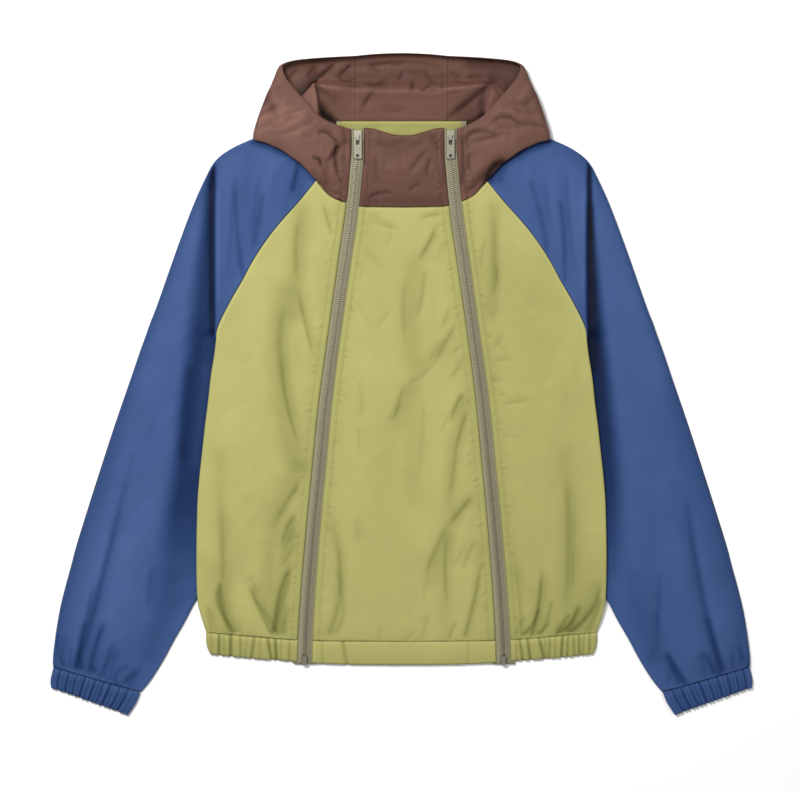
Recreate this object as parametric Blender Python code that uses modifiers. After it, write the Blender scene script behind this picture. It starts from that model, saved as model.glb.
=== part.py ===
"""Hooded windbreaker jacket with two slanting zips, laid flat on its back.

Frame: metres, +Z up out of the front, +Y towards the hood, +X to the wearer's left, and z = 0 on the
surface that it lies on. Sizes below are millimetres. A table that serves both sides holds distances
from the centre line.
"""

import math

import bmesh
import bpy
import numpy as np
from mathutils import Matrix

MM = 0.001

# Cloth
WALL = 1.1  # thickness of every cloth wall
SEAM = 0.25  # half of the clear gap between two pieces, measured across the jacket
SEAM_LONG = 0.2  # half of the clear gap along the jacket
FLOOR_Z = WALL / 2  # middle of a wall that lies on the surface
TUCK_Z = 2.0  # front layer of the sleeve where it lies under the body
TUCK_LIFT = 3.25  # how far the back panel rises over the tucked sleeve
AIR = 3.0  # between the back panel and the front panels
BACK_RAMP = 12.0  # distance in which the back panel rises over the sleeve
FRONT_RAMP = 32.0
RAMP_CLEAR = 2.0  # from the end of a ramp to the sleeve's edge
PLACKET = 6.5  # flat strip along each zip, which covers the tape's edge
ROLL = 2.6  # depth of the rounded side edge
ROLL_TURN = 78.0  # degrees that each panel turns at the side seam
ROLL_Y = 30.0  # distance below the armpit in which that edge becomes round
ARMPIT_Y = 70.0
ARMPIT_FRONT_Z = 5.2  # sleeve's two layers where they meet the armpit
ARMPIT_BACK_Z = 1.8

# Folds die out over these distances from the edges of their piece.
FADE_SEAM = 1.0  # no fold nearer than this to a seam that runs across
FADE_ZIP = 12.0
FADE_SIDE = 16.0
FADE_HEM = 8.0
FADE_NECK = 30.0  # side fronts, from a line FADE_NECK_OVER above the neck seam's lowest point
FADE_NECK_OVER = 10.0
FADE_COLLAR = 12.0  # centre front
FADE_INNER = 12.0  # sleeve, from the body
FADE_OUTER = 8.0  # sleeve, from its outer fold
FADE_CUFF_ROWS = 1.5
FADE_SHOULDER = 24.0

# Half width of the body by y: raglan seam of the front down to the armpit, then the side seam.
FRONT_EDGE = (  # y, half_width
    (266, 111), (239, 133), (211, 158), (188, 176), (162, 193), (136, 207), (110, 222), (85, 234.5),
    (70, 240), (56, 241.5), (38, 244), (10, 248.5), (-22, 252), (-54, 256), (-86, 259.5), (-118, 263),
    (-150, 265.5), (-182, 266.5), (-212, 267), (-240, 267), (-264, 266.5), (-284, 265), (-304, 260),
    (-318, 255.5), (-322, 254.5),
)
BACK_EDGE = (  # y, half_width: raglan seam of the back, then the same side seam
    (328, 87), (300, 108), (256, 141), (226, 163), (193, 183), (160, 201), (125, 218), (92, 232),
) + FRONT_EDGE[8:]
TUCKED_EDGE = (  # y, distance: inner edge of the sleeve under the body
    (120, 250), (100, 244), (70, 238), (46, 232), (20, 221), (-26, 203), (-78, 199), (-130, 203),
    (-182, 213), (-225, 230), (-256, 246), (-284, 259), (-306, 272), (-322, 286), (-364, 320),
)
NECK_EDGE = (  # x, y: neck seam of the front
    (0, 231), (50, 232), (66, 234), (80, 239.5), (94, 246.5), (103, 256), (111, 266),
)
HEM_SEAM = ((0, -334), (118, -333), (137, -332), (200, -327), (254, -322))  # x, y
HEM_EDGE = ((0, -364), (67, -363.5), (118, -361.5), (138, -359.5), (184, -356.5), (223, -353), (250, -350))
HEM_SIDE = ((-322, 254.5), (-333, 254.5), (-342, 253), (-350, 249.5))  # y, half_width
NECK_SEAM_Y = 234.0
HEM_ZIP_Y = -332.0
HEM_ZIP_END_Y = -359.5  # hem's edge at the zip, side front
CENTRE_TOP_Y = 232.0  # centre front's corners at the zips
CENTRE_LOW_Y = -333.0
CENTRE_END_Y = -361.5  # hem's edge at the zip, centre front
SIDE_LOW_Y = -322.0  # side seam's lower end, at the hem seam and at the hem's edge
SIDE_END_Y = -350.0
NECK_SHARE = 0.2  # share of a side front in which its rows turn along the neck seam
RAMP_SHARES = (0.8, 0.86, 0.92)  # least shares of the half width for the back's three ramp columns
BACK_NECK_DROP = 6.0
BACK_NECK_HALF = 87.0
BACK_NECK_REACH = 28.0

# Zips
ZIP_LINE = (  # y, x of the middle, half of the width that shows
    (334, 60.2, 8.0), (303, 60.2, 8.0), (279, 62.2, 8.0), (254, 64.6, 8.0), (234, 66.8, 8.0),
    (202, 70.8, 8.2), (162, 76.8, 8.3), (104, 85, 8.4), (46, 93, 8.5), (-32, 103, 9.0),
    (-110, 110.5, 9.2), (-188, 118, 9.3), (-266, 124.5, 9.4), (-332, 128.6, 9.6), (-362, 129.5, 9.6),
)
ZIP_SHIFT = 3.4  # how far the front lies off the middle, towards the wearer's left
TAPE_WALL = 1.0
TAPE_DROP = 1.35  # tape below the panels
TAPE_UNDER = 5.0  # how far the tape runs under a panel
CHAIN_WIDE = 6.8
CHAIN_GAP = 0.3  # from the chain to the tapes, the stop and the slider
CHAIN_THICK = 2.4
CHAIN_LIFT = 0.2  # chain's middle above the tape's
TAPE_FLARE = 3.0  # how far each tape half leans away from the other above the slider
ZIP_ROWS = (  # heights along the zip, closer where the collar rises
    -332, -266, -188, -110, -32, 46, 104, 162, 202, 220, 234, 241, 248, 255, 262, 270, 278, 286, 306, 327,
)
ZIP_TOP_Y = 333.5
ZIP_BOTTOM_Y = -363.0
CHAIN_TOP_Y = 325.8
LEVEL_CLEAR = 6.0  # least distance from a tape's end to its next row
STOP_SIZE = (6.6, 12.0, 3.6)
STOP_DROP = 1.0  # how far the stop stands below the tape's end
STOP_BEVEL = 0.8

# Collar and flap
COLLAR_RISE = 5.85
COLLAR_FLAT_Y = 285.0
COLLAR_TOP_Y = 334.0
COLLAR_TOP = ((0, 324), (15, 325), (29, 329.5), (42, 333), (52, COLLAR_TOP_Y))  # x, y
COLLAR_BOW = 1.6  # how much its middle stands above its sides
FLAP_HALF = 84.0
FLAP_ROWS = ((300, 7.3), (308, 7.3), (315, 6.0), (329, 5.8), (343, 5.6))  # y, z: up under the zips, then free

# Slider and pull tab
SLIDER_LONG = 14.0
SLIDER_WIDE = 11.4
SLIDER_BEVEL = 0.45
SLIDER_TAPER = 0.8  # width at its lower end over the width at its upper end
SLIDER_LOW_Y = 317.0
PLATE = 0.95  # thickness of its two plates
NECK_WIDE = 4.2
BRIDGE_WIDE = 2.6
BRIDGE_LONG = 7.3
BRIDGE_HIGH = 3.5
BRIDGE_BAR = 1.15
BRIDGE_LEG = 1.3  # wall at each end of the bridge
BRIDGE_SINK = 0.5  # how deep the bridge sits in the slider
CHANNEL_PAST = 4.0  # how far the channel's cutter runs below the slider
SLOT_WIDE = 6.0
SLOT_AIR = 0.35  # above and below the tape
CUT_PAST = 1.0  # how far a cutter stands out on each side of what it cuts
HINGE_Y = 320.0
HINGE_LIFT = 1.3  # pull tab's axis above the slider's top
PULL_LONG = 27.6
PULL_WIDE = 11.2
PULL_BEVEL = 0.5
PULL_THICK = 1.5
PULL_TILT = 2.8  # degrees below level at rest
WINDOW_WIDE = 4.6
WINDOW_LONG = 7.8
EYE_RADIUS = 2.1
EYE_AT = 22.8
EYE_SIDES = 16

# Largest folds of the front, one row each: a curve through three points, its half width, its height
# (a trough is below zero), and 1 where it runs full into its last point instead of fading there.
FRONT_FOLDS = (  # x0, y0, x1, y1, x2, y2, half_width, height, full_end
    (-132, 212, -159, 72, -128, -91, 10, -2.7, 0),
    (-150, 205, -178, 60, -158, -90, 14, 2.2, 0),
    (-120, 150, -140, 20, -118, -70, 11, 1.6, 0),
    (-130, 180, -124, 90, -112, 29, 6, -2.0, 0),
    (-215, 60, -226, -60, -222, -190, 18, 1.6, 0),
    (-135, -138, -154, -160, -171, -187, 7, -2.2, 0),
    (-139, -232, -150, -266, -163, -316, 7, -2.8, 1),
    (-152, -210, -168, -262, -178, -300, 9, 2.2, 0),
    (-200, -240, -187, -285, -174, -319, 7, -2.6, 1),
    (-212, -220, -206, -272, -196, -312, 9, 2.0, 0),
    (-238, -235, -232, -287, -222, -319, 7, -2.8, 1),
    (60, 214, 40, 188, 26, 160, 8, -2.4, 0),
    (70, 208, 54, 176, 40, 146, 10, 1.8, 0),
    (18, 175, 10, 110, 4, 30, 16, -2.7, 0),
    (73, 80, 41, 32, -8, -42, 8, -2.6, 0),
    (66, 50, 46, -10, 20, -70, 12, 2.2, 0),
    (86, -4, 64, -62, 64, -150, 8, -2.8, 0),
    (84, -50, 80, -92, 82, -136, 8, 1.8, 0),
    (96, -142, 58, -183, 33, -232, 8, -2.6, 0),
    (100, -172, 76, -214, 74, -280, 9, 2.0, 0),
    (58, -183, 62, -240, 60, -304, 7, -2.4, 0),
    (-88, -195, -82, -260, -79, -325, 7, -2.4, 1),
    (-72, -190, -66, -250, -64, -310, 9, 1.8, 0),
    (-40, 150, -48, -20, -28, -230, 24, 1.8, 0),
    (30, 60, 22, -60, 16, -200, 18, 1.4, 0),
    (122, 195, 121, 152, 117, 108, 7, -2.2, 0),
    (222, -80, 222, -202, 210, -304, 11, -2.8, 0),
    (202, -60, 202, -180, 192, -280, 13, 2.2, 0),
    (182, -220, 179, -280, 171, -319, 7, -2.8, 1),
    (148, -215, 150, -280, 154, -319, 6, -2.2, 1),
    (250, -245, 245, -286, 235, -317, 6, -2.4, 1),
    (166, 90, 178, -60, 172, -190, 20, 1.8, 0),
)
HEM_FOLDS_RIGHT = (  # x at the seam, x at the edge, half_width, height
    (-237, -237, 3.6, -2.4), (-222, -222, 3.8, -3.0), (-209, -209, 3.6, -1.8), (-192, -195, 4.0, -2.3),
    (-173, -169, 3.8, -2.9), (-162, -161, 3.4, -2.4), (-148, -149, 3.2, -1.7),
)
HEM_FOLDS_LEFT = (
    (153, 157, 3.6, -2.4), (165, 169, 3.4, -2.8), (179, 186, 3.8, -2.7), (193, 193, 3.6, -1.8),
    (209, 208, 3.6, -2.8), (218, 219, 3.2, -2.2), (231, 232, 3.6, -2.2), (243, 243, 3.2, -1.6),
)
HEM_PUFF = 1.4  # crown of the hem between its gathers
HEM_CENTRE_PUFF = 0.4
HEM_DIP = (-73, 6, -1.2)  # x, half_width, height of the one fold of the centre hem
PUFF_RISE = 4.0  # a band's puff is full within 1 / PUFF_RISE of its depth, its gathers within 1 / GATHER_RISE
GATHER_RISE = 3.0
PUFF_SIDE = 6.0

# Sleeve, a row for each section from the neck to the cuff: the front's inner point, the point on the
# outer fold, the back's inner point, and the height of the front between them.
SLEEVE_ROWS = (  # inner_x, inner_y, outer_x, outer_y, back_x, back_y, crown
    (111, 266, 106, 342, 87, 328, 5.2),
    (133, 239, 165, 331, 108, 300, 5.8),
    (158, 211, 205, 316, 141, 256, 6.6),
    (176, 188, 228, 304, 163, 226, 7.4),
    (193, 162, 244, 290, 183, 193, 8.0),
    (207, 136, 256, 268, 201, 160, 8.4),
    (222, 110, 272, 232, 218, 125, 8.6),
    (234.5, 85, 293, 176, 232, 92, 8.8),
    (240, 70, 312, 122, 240, 70, 8.8),
    (242.8, 61, 321, 97, 242.8, 61, 8.8),
    (243.8, 53, 327, 82, 243.8, 53, 8.8),
    (238, 44, 333, 65, 238, 44, 8.8),
    (227, 26, 342, 40, 227, 26, 8.8),
    (210, -14, 357, -5, 210, -14, 9.0),
    (202, -66, 373, -53, 202, -66, 9.2),
    (205, -122, 387, -97, 205, -122, 9.4),
    (215, -176, 401, -141, 215, -176, 9.6),
    (233, -223, 413, -179, 233, -223, 9.8),
    (252, -256, 423, -211, 252, -256, 9.8),
    (268, -281, 430, -237, 268, -281, 9.8),
    (281, -306, 437, -262, 281, -306, 9.6),
    (296, -332, 444, -290, 296, -332, 9.2),
    (310, -358, 449, -317, 310, -358, 8.4),
    (325, -382, 453, -345, 325, -382, 7.2),
    (336, -396, 454, -360, 336, -396, 6.0),
    (339.5, -399.5, 453.5, -366.5, 339.5, -399.5, 5.6),
)
RAGLAN_ROWS = 9
SHOULDER_Y = 324.0
TUCK_CLEAR = 4.0  # from the body's edge to where the sleeve starts to rise
SLEEVE_RISE = 45.0  # distance in which the sleeve comes up from under the body
SLEEVE_FALL = 35.0  # distance in which it comes down to its outer fold
SLEEVE_FOLD = 4.0  # depth of the rounded outer fold
SLEEVE_EDGE_Z = 5.6  # front layer next to that fold
SLEEVE_FOLDS_RIGHT = (  # as FRONT_FOLDS
    (-238, 296, -242, 188, -244, 70, 10, -3.4, 0),
    (-214, 290, -222, 200, -226, 120, 12, 1.2, 0),
    (-348, -92, -388, -256, -423, -366, 8, -4.0, 1),
    (-317, -40, -343, -162, -372, -266, 18, 2.2, 0),
    (-352, 0, -378, -92, -402, -180, 12, -1.6, 0),
    (-322, -230, -324, -266, -327, -306, 9, -2.0, 0),
    (-385, -300, -396, -345, -406, -378, 5.5, -2.6, 1),
    (-362, -330, -376, -360, -390, -383, 5.5, -2.7, 1),
    (-341, -356, -352, -378, -366, -391, 5.5, -2.5, 1),
    (-434, -318, -438, -345, -439, -366, 5, -2.3, 1),
    (-404, -290, -412, -335, -416, -362, 6, 1.2, 0),
)
SLEEVE_FOLDS_LEFT = (
    (236, 296, 241, 188, 244, 70, 10, -3.8, 0),
    (212, 290, 221, 200, 226, 120, 12, 1.2, 0),
    (368, -140, 391, -272, 418, -368, 8, -4.0, 1),
    (330, -50, 352, -180, 384, -290, 18, 2.2, 0),
    (372, 0, 398, -100, 418, -200, 12, -1.6, 0),
    (333, -240, 332, -296, 330, -340, 9, -2.2, 0),
    (341, -340, 355, -366, 370, -389, 6, -3.0, 1),
    (386, -335, 392, -358, 396, -379, 5, -2.2, 1),
    (441, -300, 442, -332, 439, -366, 5, -2.6, 1),
    (400, -310, 406, -340, 408, -362, 6, 1.2, 0),
)

# Cuff: its four corners, its height, and the gathers by fraction of its width from the outer side.
CUFF_OUTER = ((453.3, -367.3), (457, -383), (456.5, -393.5))
CUFF_INNER = ((339.7, -400.3), (345.5, -414), (355.5, -429.5))
CUFF_Z = 5.1
CUFF_PUFF = 1.4
CUFF_FOLD = 3.5
CUFF_FOLDS_RIGHT = (  # fraction, half_width, height
    (0.09, 2.9, -2.6), (0.19, 2.7, -3.0), (0.28, 2.7, -2.2), (0.37, 2.9, -3.2), (0.49, 2.9, -3.0),
    (0.57, 2.7, -2.4), (0.66, 2.9, -3.2), (0.77, 2.7, -2.6), (0.86, 2.9, -3.2),
)
CUFF_FOLDS_LEFT = (
    (0.08, 2.9, -3.2), (0.17, 2.7, -2.4), (0.27, 2.9, -3.0), (0.38, 2.7, -2.7), (0.48, 2.9, -2.2),
    (0.58, 2.9, -3.2), (0.69, 2.7, -2.2), (0.79, 2.9, -3.2), (0.88, 2.7, -2.8),
)

# Hood side, a row for each section from the zip round to the centre strip, each through eight points
# from the neck seam to the rim: neck, stand, crest, valley, under, turn, over, rim.
HOOD_ROWS = (  # (x, y, z) eight times
    ((75, 237.6, 4.8), (73.4, 249, 6.0), (72, 263, 8.3), (70.7, 277, 10.2), (69.4, 291, 10.6),
     (68.5, 305, 10.7), (68.5, 319, 10.9), (69, 332, 11.2)),
    ((83.5, 241.3, 4.95), (83.5, 252.5, 6.6), (83.5, 265, 8.8), (83.5, 278, 10.6), (83.5, 291, 11.4),
     (82.5, 306, 12.0), (81, 321, 12.4), (79.5, 335.5, 12.4)),
    ((93.5, 247.2, 4.7), (95, 257, 6.8), (97, 268, 9.4), (98.5, 280, 11.4), (98.5, 293, 12.7),
     (97.5, 308, 13.6), (95, 325, 13.9), (92, 340, 13.6)),
    ((103, 257.5, 4.9), (106, 261.5, 7.6), (110, 267, 10), (114.5, 275, 11.6), (117, 285, 13.2),
     (116, 300, 14.8), (111, 323, 15.4), (103, 346, 14.8)),
    ((108.6, 272, 5.0), (111, 275, 8.5), (119, 280, 9.4), (127, 285, 9.8), (133, 290, 10.8),
     (136.5, 298, 12.8), (129, 322, 16), (112, 354, 15.8)),
    ((107.4, 290, 5.0), (110.5, 291, 8.6), (124, 294, 9.4), (140, 299, 9.5), (153, 303.5, 10.4),
     (158.5, 309, 12.8), (146, 333, 16.8), (121, 365, 16.4)),
    ((106.2, 311, 5.2), (109, 312, 8.6), (124, 314, 9.4), (146, 313, 9.4), (170, 312.8, 10),
     (178, 317.5, 12.6), (164, 342, 17.6), (129, 373, 17)),
    ((104.4, 330, 5.2), (106, 335, 8.6), (111, 344, 10.4), (138, 336, 8.6), (180, 323, 9.4),
     (193.2, 319.5, 12.2), (176, 347, 17.8), (136, 381, 17.4)),
    ((105.5, 345.5, 3.4), (107.5, 355, 7), (112, 370, 12), (139, 355, 6.2), (180, 340, 7.0),
     (189.5, 336, 10.6), (177, 360, 17.4), (142, 388, 17.6)),
    ((97, 339.4, 0.55), (103, 356, 6), (114, 389, 16), (126, 382, 6.5), (158, 368, 4.8), (181.5, 358, 9.5),
     (174, 376, 16.4), (148, 395, 17.6)),
    ((88, 332.6, 0.55), (93, 354, 4.6), (106, 387, 15.6), (118, 393, 5.4), (150, 385, 3.8), (171.5, 382, 8.8),
     (166.5, 392, 15), (152, 403, 17.4)),
    ((79, 330.0, 0.55), (84, 353, 4.2), (98, 385.6, 15.4), (108, 396, 4.6), (138, 401, 3.2), (163, 402, 8.4),
     (161, 405.5, 14), (154, 410.5, 17.2)),
    ((73, 328.6, 0.55), (76, 352, 4.0), (89, 384.4, 15.2), (97, 397, 4.4), (122, 410, 3.2), (153, 417.3, 8),
     (153.5, 417.6, 13.5), (150, 417, 16.8)),
    ((68, 327.4, 0.55), (70, 351.5, 3.9), (78, 383.6, 15), (84, 396.5, 4.4), (101, 412.5, 3.2),
     (121, 422.3, 8), (121, 422.6, 13), (119, 422.2, 16.6)),
    ((64, 326.7, 0.55), (65, 351.2, 3.8), (68.5, 383, 15), (72, 396, 4.4), (82, 413, 3.4),
     (91.5, 424, 8), (91.5, 424.8, 12.8), (90, 424.3, 16.5)),
    ((60.2, 326, 0.55), (60.2, 351, 3.8), (60.2, 382.5, 15), (60.2, 395.4, 4.4), (60.2, 413, 3.6),
     (60.2, 424.6, 8), (60.2, 426.2, 12.5), (60.2, 425.8, 16.4)),
)
HOOD_ACROSS = 18  # faces from the zip to the centre strip
HOOD_UP = 14  # faces from the neck seam to the rim
STRIP_HALF = 60.0
STRIP_BOW = 3.6  # how much further the centre strip reaches at the rim than at its seams
STRIP_DIP = 3.2  # how much its neck edge dips
STRIP_SEAM = 0.15
ZIP_SECTIONS = 2.5  # rows of HOOD_ROWS in which the hood side leaves the zip's line

COLOURS = {  # red, green, blue, metallic, roughness
    "green": (0.43, 0.41, 0.16, 0.0, 0.55),
    "blue": (0.055, 0.10, 0.25, 0.0, 0.5),
    "brown": (0.19, 0.11, 0.085, 0.0, 0.5),
    "tape": (0.36, 0.32, 0.24, 0.0, 0.8),
    "teeth": (0.22, 0.19, 0.15, 0.6, 0.45),
    "metal": (0.46, 0.44, 0.36, 0.9, 0.35),
}


def ease(t):
    t = min(max(t, 0.0), 1.0)
    return t * t * (3 - 2 * t)


def curve_through(keys, values, at):
    """Smooth curve through (keys, values) that never overshoots a value; keys rise."""
    keys = np.asarray(keys, float)
    values = np.asarray(values, float)
    step = np.diff(keys)
    rise = np.diff(values) / step
    slope = np.concatenate([rise[:1], np.zeros(len(keys) - 2), rise[-1:]])
    turning = rise[:-1] * rise[1:] > 0
    pairs = np.where(turning, rise[:-1] + rise[1:], 1.0)
    slope[1:-1] = np.where(turning, 2 * rise[:-1] * rise[1:] / pairs, 0.0)
    i = int(np.clip(np.searchsorted(keys, at) - 1, 0, len(step) - 1))
    t = min(max((at - keys[i]) / step[i], 0.0), 1.0)
    a = values[i] * (2 * t**3 - 3 * t**2 + 1) + values[i + 1] * (3 * t**2 - 2 * t**3)
    b = slope[i] * (t**3 - 2 * t**2 + t) + slope[i + 1] * (t**3 - t**2)
    return float(a + b * step[i])


def lookup(table, at, column=1):
    """A column of a table, read between its rows by its first column."""
    rows = sorted(table)
    return curve_through([row[0] for row in rows], [row[column] for row in rows], at)


def fold_paths(rows):
    """Each fold as 15 points of a curve through its three points, with its profile."""
    t = np.linspace(0, 1, 15)[:, None]
    paths = []
    for x0, y0, x1, y1, x2, y2, half_width, height, full_end in rows:
        first, last = np.array((x0, y0)), np.array((x2, y2))
        pull = 2 * np.array((x1, y1)) - (first + last) / 2
        points = (1 - t) ** 2 * first + 2 * t * (1 - t) * pull + t**2 * last
        paths.append((points, half_width, height, full_end))
    return paths


def relief(paths, x, y):
    """Sum of the folds' heights at (x, y)."""
    total = 0.0
    for points, half_width, height, full_end in paths:
        start, run = points[:-1], np.diff(points, axis=0)
        along = ((x - start[:, 0]) * run[:, 0] + (y - start[:, 1]) * run[:, 1]) / (run**2).sum(axis=1)
        along = np.clip(along, 0, 1)
        away = np.hypot(start[:, 0] + along * run[:, 0] - x, start[:, 1] + along * run[:, 1] - y)
        nearest = int(away.argmin())
        t = (nearest + along[nearest]) / len(start)
        fade = ease(t * 3) * (1.0 if full_end else ease((1 - t) * 3))
        total += height * fade * math.exp(-((away[nearest] / half_width) ** 2))
    return total


FRONT_PATHS = fold_paths(FRONT_FOLDS)


def zip_x(y, side, way=0):
    """Distance of a zip's middle from the centre line; way 1 or -1 gives its outer or inner edge."""
    return lookup(ZIP_LINE, y) + side * ZIP_SHIFT + way * lookup(ZIP_LINE, y, 2)


def ramp_end(y):
    """Distance from the centre line where the body has risen over the tucked sleeve."""
    return lookup(TUCKED_EDGE, y) - RAMP_CLEAR


def back_z(x, y):
    """Middle of the back panel: on the surface, and raised where the sleeve is tucked below it."""
    return FLOOR_Z + TUCK_LIFT * ease((abs(x) - ramp_end(y) + BACK_RAMP) / BACK_RAMP)


def front_z(x, y):
    """Middle of the front panels, without folds."""
    return FLOOR_Z + WALL + AIR + TUCK_LIFT * ease((abs(x) - ramp_end(y) + FRONT_RAMP) / FRONT_RAMP)


def collar_z(y):
    """Middle of the stand collar, which rises from the neck seam to a level top."""
    return FLOOR_Z + WALL + AIR + COLLAR_RISE * ease((y - NECK_SEAM_Y) / (COLLAR_FLAT_Y - NECK_SEAM_Y))


def roll_amount(y):
    """0 along the raglan seam, 1 along the side seam, where front and back turn to meet each other."""
    return ease((ARMPIT_Y - y) / ROLL_Y)


def cloth(name, colour, rows, columns, point, loop=False, wall=WALL):
    """A wall round the middle surface point(row, column), from a grid of rows x columns faces."""
    mesh = bpy.data.meshes.new(name)
    work = bmesh.new()
    bmesh.ops.create_grid(work, x_segments=columns, y_segments=rows, size=1)
    for vertex in work.verts:
        column = round((vertex.co.x + 1) / 2 * columns)
        row = round((vertex.co.y + 1) / 2 * rows)
        vertex.co = [value * MM for value in point(row, column)]
    if loop:
        bmesh.ops.remove_doubles(work, verts=work.verts, dist=1e-6)
    work.to_mesh(mesh)
    work.free()
    mesh.materials.append(material(colour))
    mesh.shade_smooth()
    item = bpy.data.objects.new(name, mesh)
    jacket.objects.link(item)
    solid = item.modifiers.new("wall", "SOLIDIFY")
    solid.thickness = wall * MM
    solid.offset = 0
    solid.use_even_offset = True
    solid.thickness_clamp = 1.0
    return item


def material(name):
    found = bpy.data.materials.get(name)
    if found:
        return found
    red, green, blue, metallic, roughness = COLOURS[name]
    made = bpy.data.materials.new(name)
    made.use_nodes = True
    shader = made.node_tree.nodes["Principled BSDF"]
    shader.inputs["Base Color"].default_value = (red, green, blue, 1)
    shader.inputs["Metallic"].default_value = metallic
    shader.inputs["Roughness"].default_value = roughness
    made.diffuse_color = (red, green, blue, 1)
    return made


def turned_edge(x_start, x_edge, y, z, share, upper):
    """A point of the rounded side edge: share 0 where it starts and 1 at the seam."""
    amount = roll_amount(y)
    turn = math.radians(ROLL_TURN) * share
    middle = (back_z(x_edge, y) + front_z(x_edge, y)) / 2
    inset = SEAM * (1 - amount) + WALL / 2 * amount
    flat_x = x_start + (x_edge - inset - x_start) * share
    round_x = x_start + (x_edge - inset - x_start) * math.sin(turn) / math.sin(math.radians(ROLL_TURN))
    round_z = middle + (z - middle) * math.cos(turn)
    if not upper:
        round_z = middle - (middle - z) * math.cos(turn)
    return flat_x + (round_x - flat_x) * amount, y, z + (round_z - z) * amount


# ---------------------------------------------------------------- body
FRONT_COLUMNS = 10
ROLL_COLUMNS = 2


def front_side(name, side):
    """Front side panel from the zip to the raglan and side seams."""
    edge = FRONT_EDGE
    top, bottom = edge[0][0], edge[-1][0]

    def point(row, column):
        y_out, half_width = edge[len(edge) - 1 - row]
        share = (top - y_out) / (top - bottom)
        y_in = NECK_SEAM_Y + share * (HEM_ZIP_Y - NECK_SEAM_Y)
        if row == 0:
            y_in, y_out = y_in + SEAM_LONG, y_out + SEAM_LONG
        x_in = zip_x(y_in, side, 1)
        x_roll = half_width - ROLL
        u = min(max(column - 1, 0) / (FRONT_COLUMNS - 1), 1)
        x = x_in + PLACKET + (x_roll - x_in - PLACKET) * u if column else x_in
        across = (x - x_in) / (half_width - x_in)
        y = y_in + (y_out - y_in) * across
        if share < NECK_SHARE:
            neck = lookup(NECK_EDGE, x) - SEAM_LONG
            y += (neck - (NECK_SEAM_Y + (top - NECK_SEAM_Y) * across)) * (1 - ease(share / NECK_SHARE))
        z = front_z(x, y)
        fade = ease((x - x_in - PLACKET) / FADE_ZIP) * ease((half_width - x) / FADE_SIDE)
        fade *= ease((y - bottom - FADE_SEAM) / FADE_HEM)
        fade *= ease((NECK_SEAM_Y + FADE_NECK_OVER - y) / FADE_NECK)
        z += relief(FRONT_PATHS, side * x, y) * fade
        if column > FRONT_COLUMNS:
            share_roll = (column - FRONT_COLUMNS) / ROLL_COLUMNS
            x, _, z = turned_edge(x_roll, half_width, y_out, z, share_roll, True)
            y = y_in + (y_out - y_in) * (x - x_in) / (half_width - x_in)
            if row == len(edge) - 1:
                y = y_out
        return side * x, y, z

    return cloth(name, "green", len(edge) - 1, FRONT_COLUMNS + ROLL_COLUMNS, point)


def front_centre():
    """Panel between the zips, from the neck seam to the hem seam."""
    rows, columns = 20, 14

    def point(row, column):
        v = 1 - row / rows
        u = column / columns * 2 - 1
        y_side = CENTRE_TOP_Y + v * (CENTRE_LOW_Y - CENTRE_TOP_Y)
        half = zip_x(y_side, 0, -1)
        away = u * half
        if abs(column - columns / 2) <= columns / 2 - 1:
            away = u * columns / (columns - 2) * (half - PLACKET)
        x = away + ZIP_SHIFT
        y_top = lookup(NECK_EDGE, abs(x)) - SEAM_LONG
        y_low = lookup(HEM_SEAM, abs(x)) + SEAM_LONG
        y = y_top + v * (y_low - y_top)
        fade = ease((half - PLACKET - abs(away)) / FADE_ZIP)
        fade *= ease((y - y_low - FADE_SEAM) / FADE_HEM) * ease((y_top - FADE_SEAM - y) / FADE_COLLAR)
        return x, y, front_z(x, y) + relief(FRONT_PATHS, x, y) * fade

    return cloth("front_centre", "green", rows, columns, point)


def back_panel():
    """Whole back, flat on the surface between the tucked sleeves."""
    rows = len(BACK_EDGE) - 1
    half_columns = 6 + ROLL_COLUMNS

    def across(y, x_roll, step):
        """Distance from the centre of a column, with the ramp over the sleeve between 2 and 4."""
        edge = ramp_end(y)
        least = [share * x_roll for share in RAMP_SHARES]
        start = min(edge - BACK_RAMP, least[0])
        middle = min(edge - BACK_RAMP / 2, least[1])
        end = min(edge, least[2])
        return (0, start / 2, start, middle, end, (end + x_roll) / 2, x_roll)[step]

    def point(row, column):
        y, half_width = BACK_EDGE[rows - row]
        if row == 0:
            y += SEAM_LONG
        x_roll = half_width - ROLL
        side = -1 if column < half_columns else 1
        step = abs(column - half_columns)
        if step <= half_columns - ROLL_COLUMNS:
            x = across(y, x_roll, step)
            return side * x, y - back_neck_drop(x, y), back_z(x, y)
        share = (step - half_columns + ROLL_COLUMNS) / ROLL_COLUMNS
        x, y, z = turned_edge(x_roll, half_width, y, back_z(x_roll, y), share, False)
        return side * x, y, z

    return cloth("back", "green", rows, 2 * half_columns, point)


def back_neck_drop(x, y):
    """The back neck seam dips towards the centre."""
    top = BACK_EDGE[0][0]
    if abs(x) >= BACK_NECK_HALF:
        return 0.0
    return BACK_NECK_DROP * (1 - (x / BACK_NECK_HALF) ** 2) * ease((y - top + BACK_NECK_REACH) / BACK_NECK_REACH)


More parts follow.
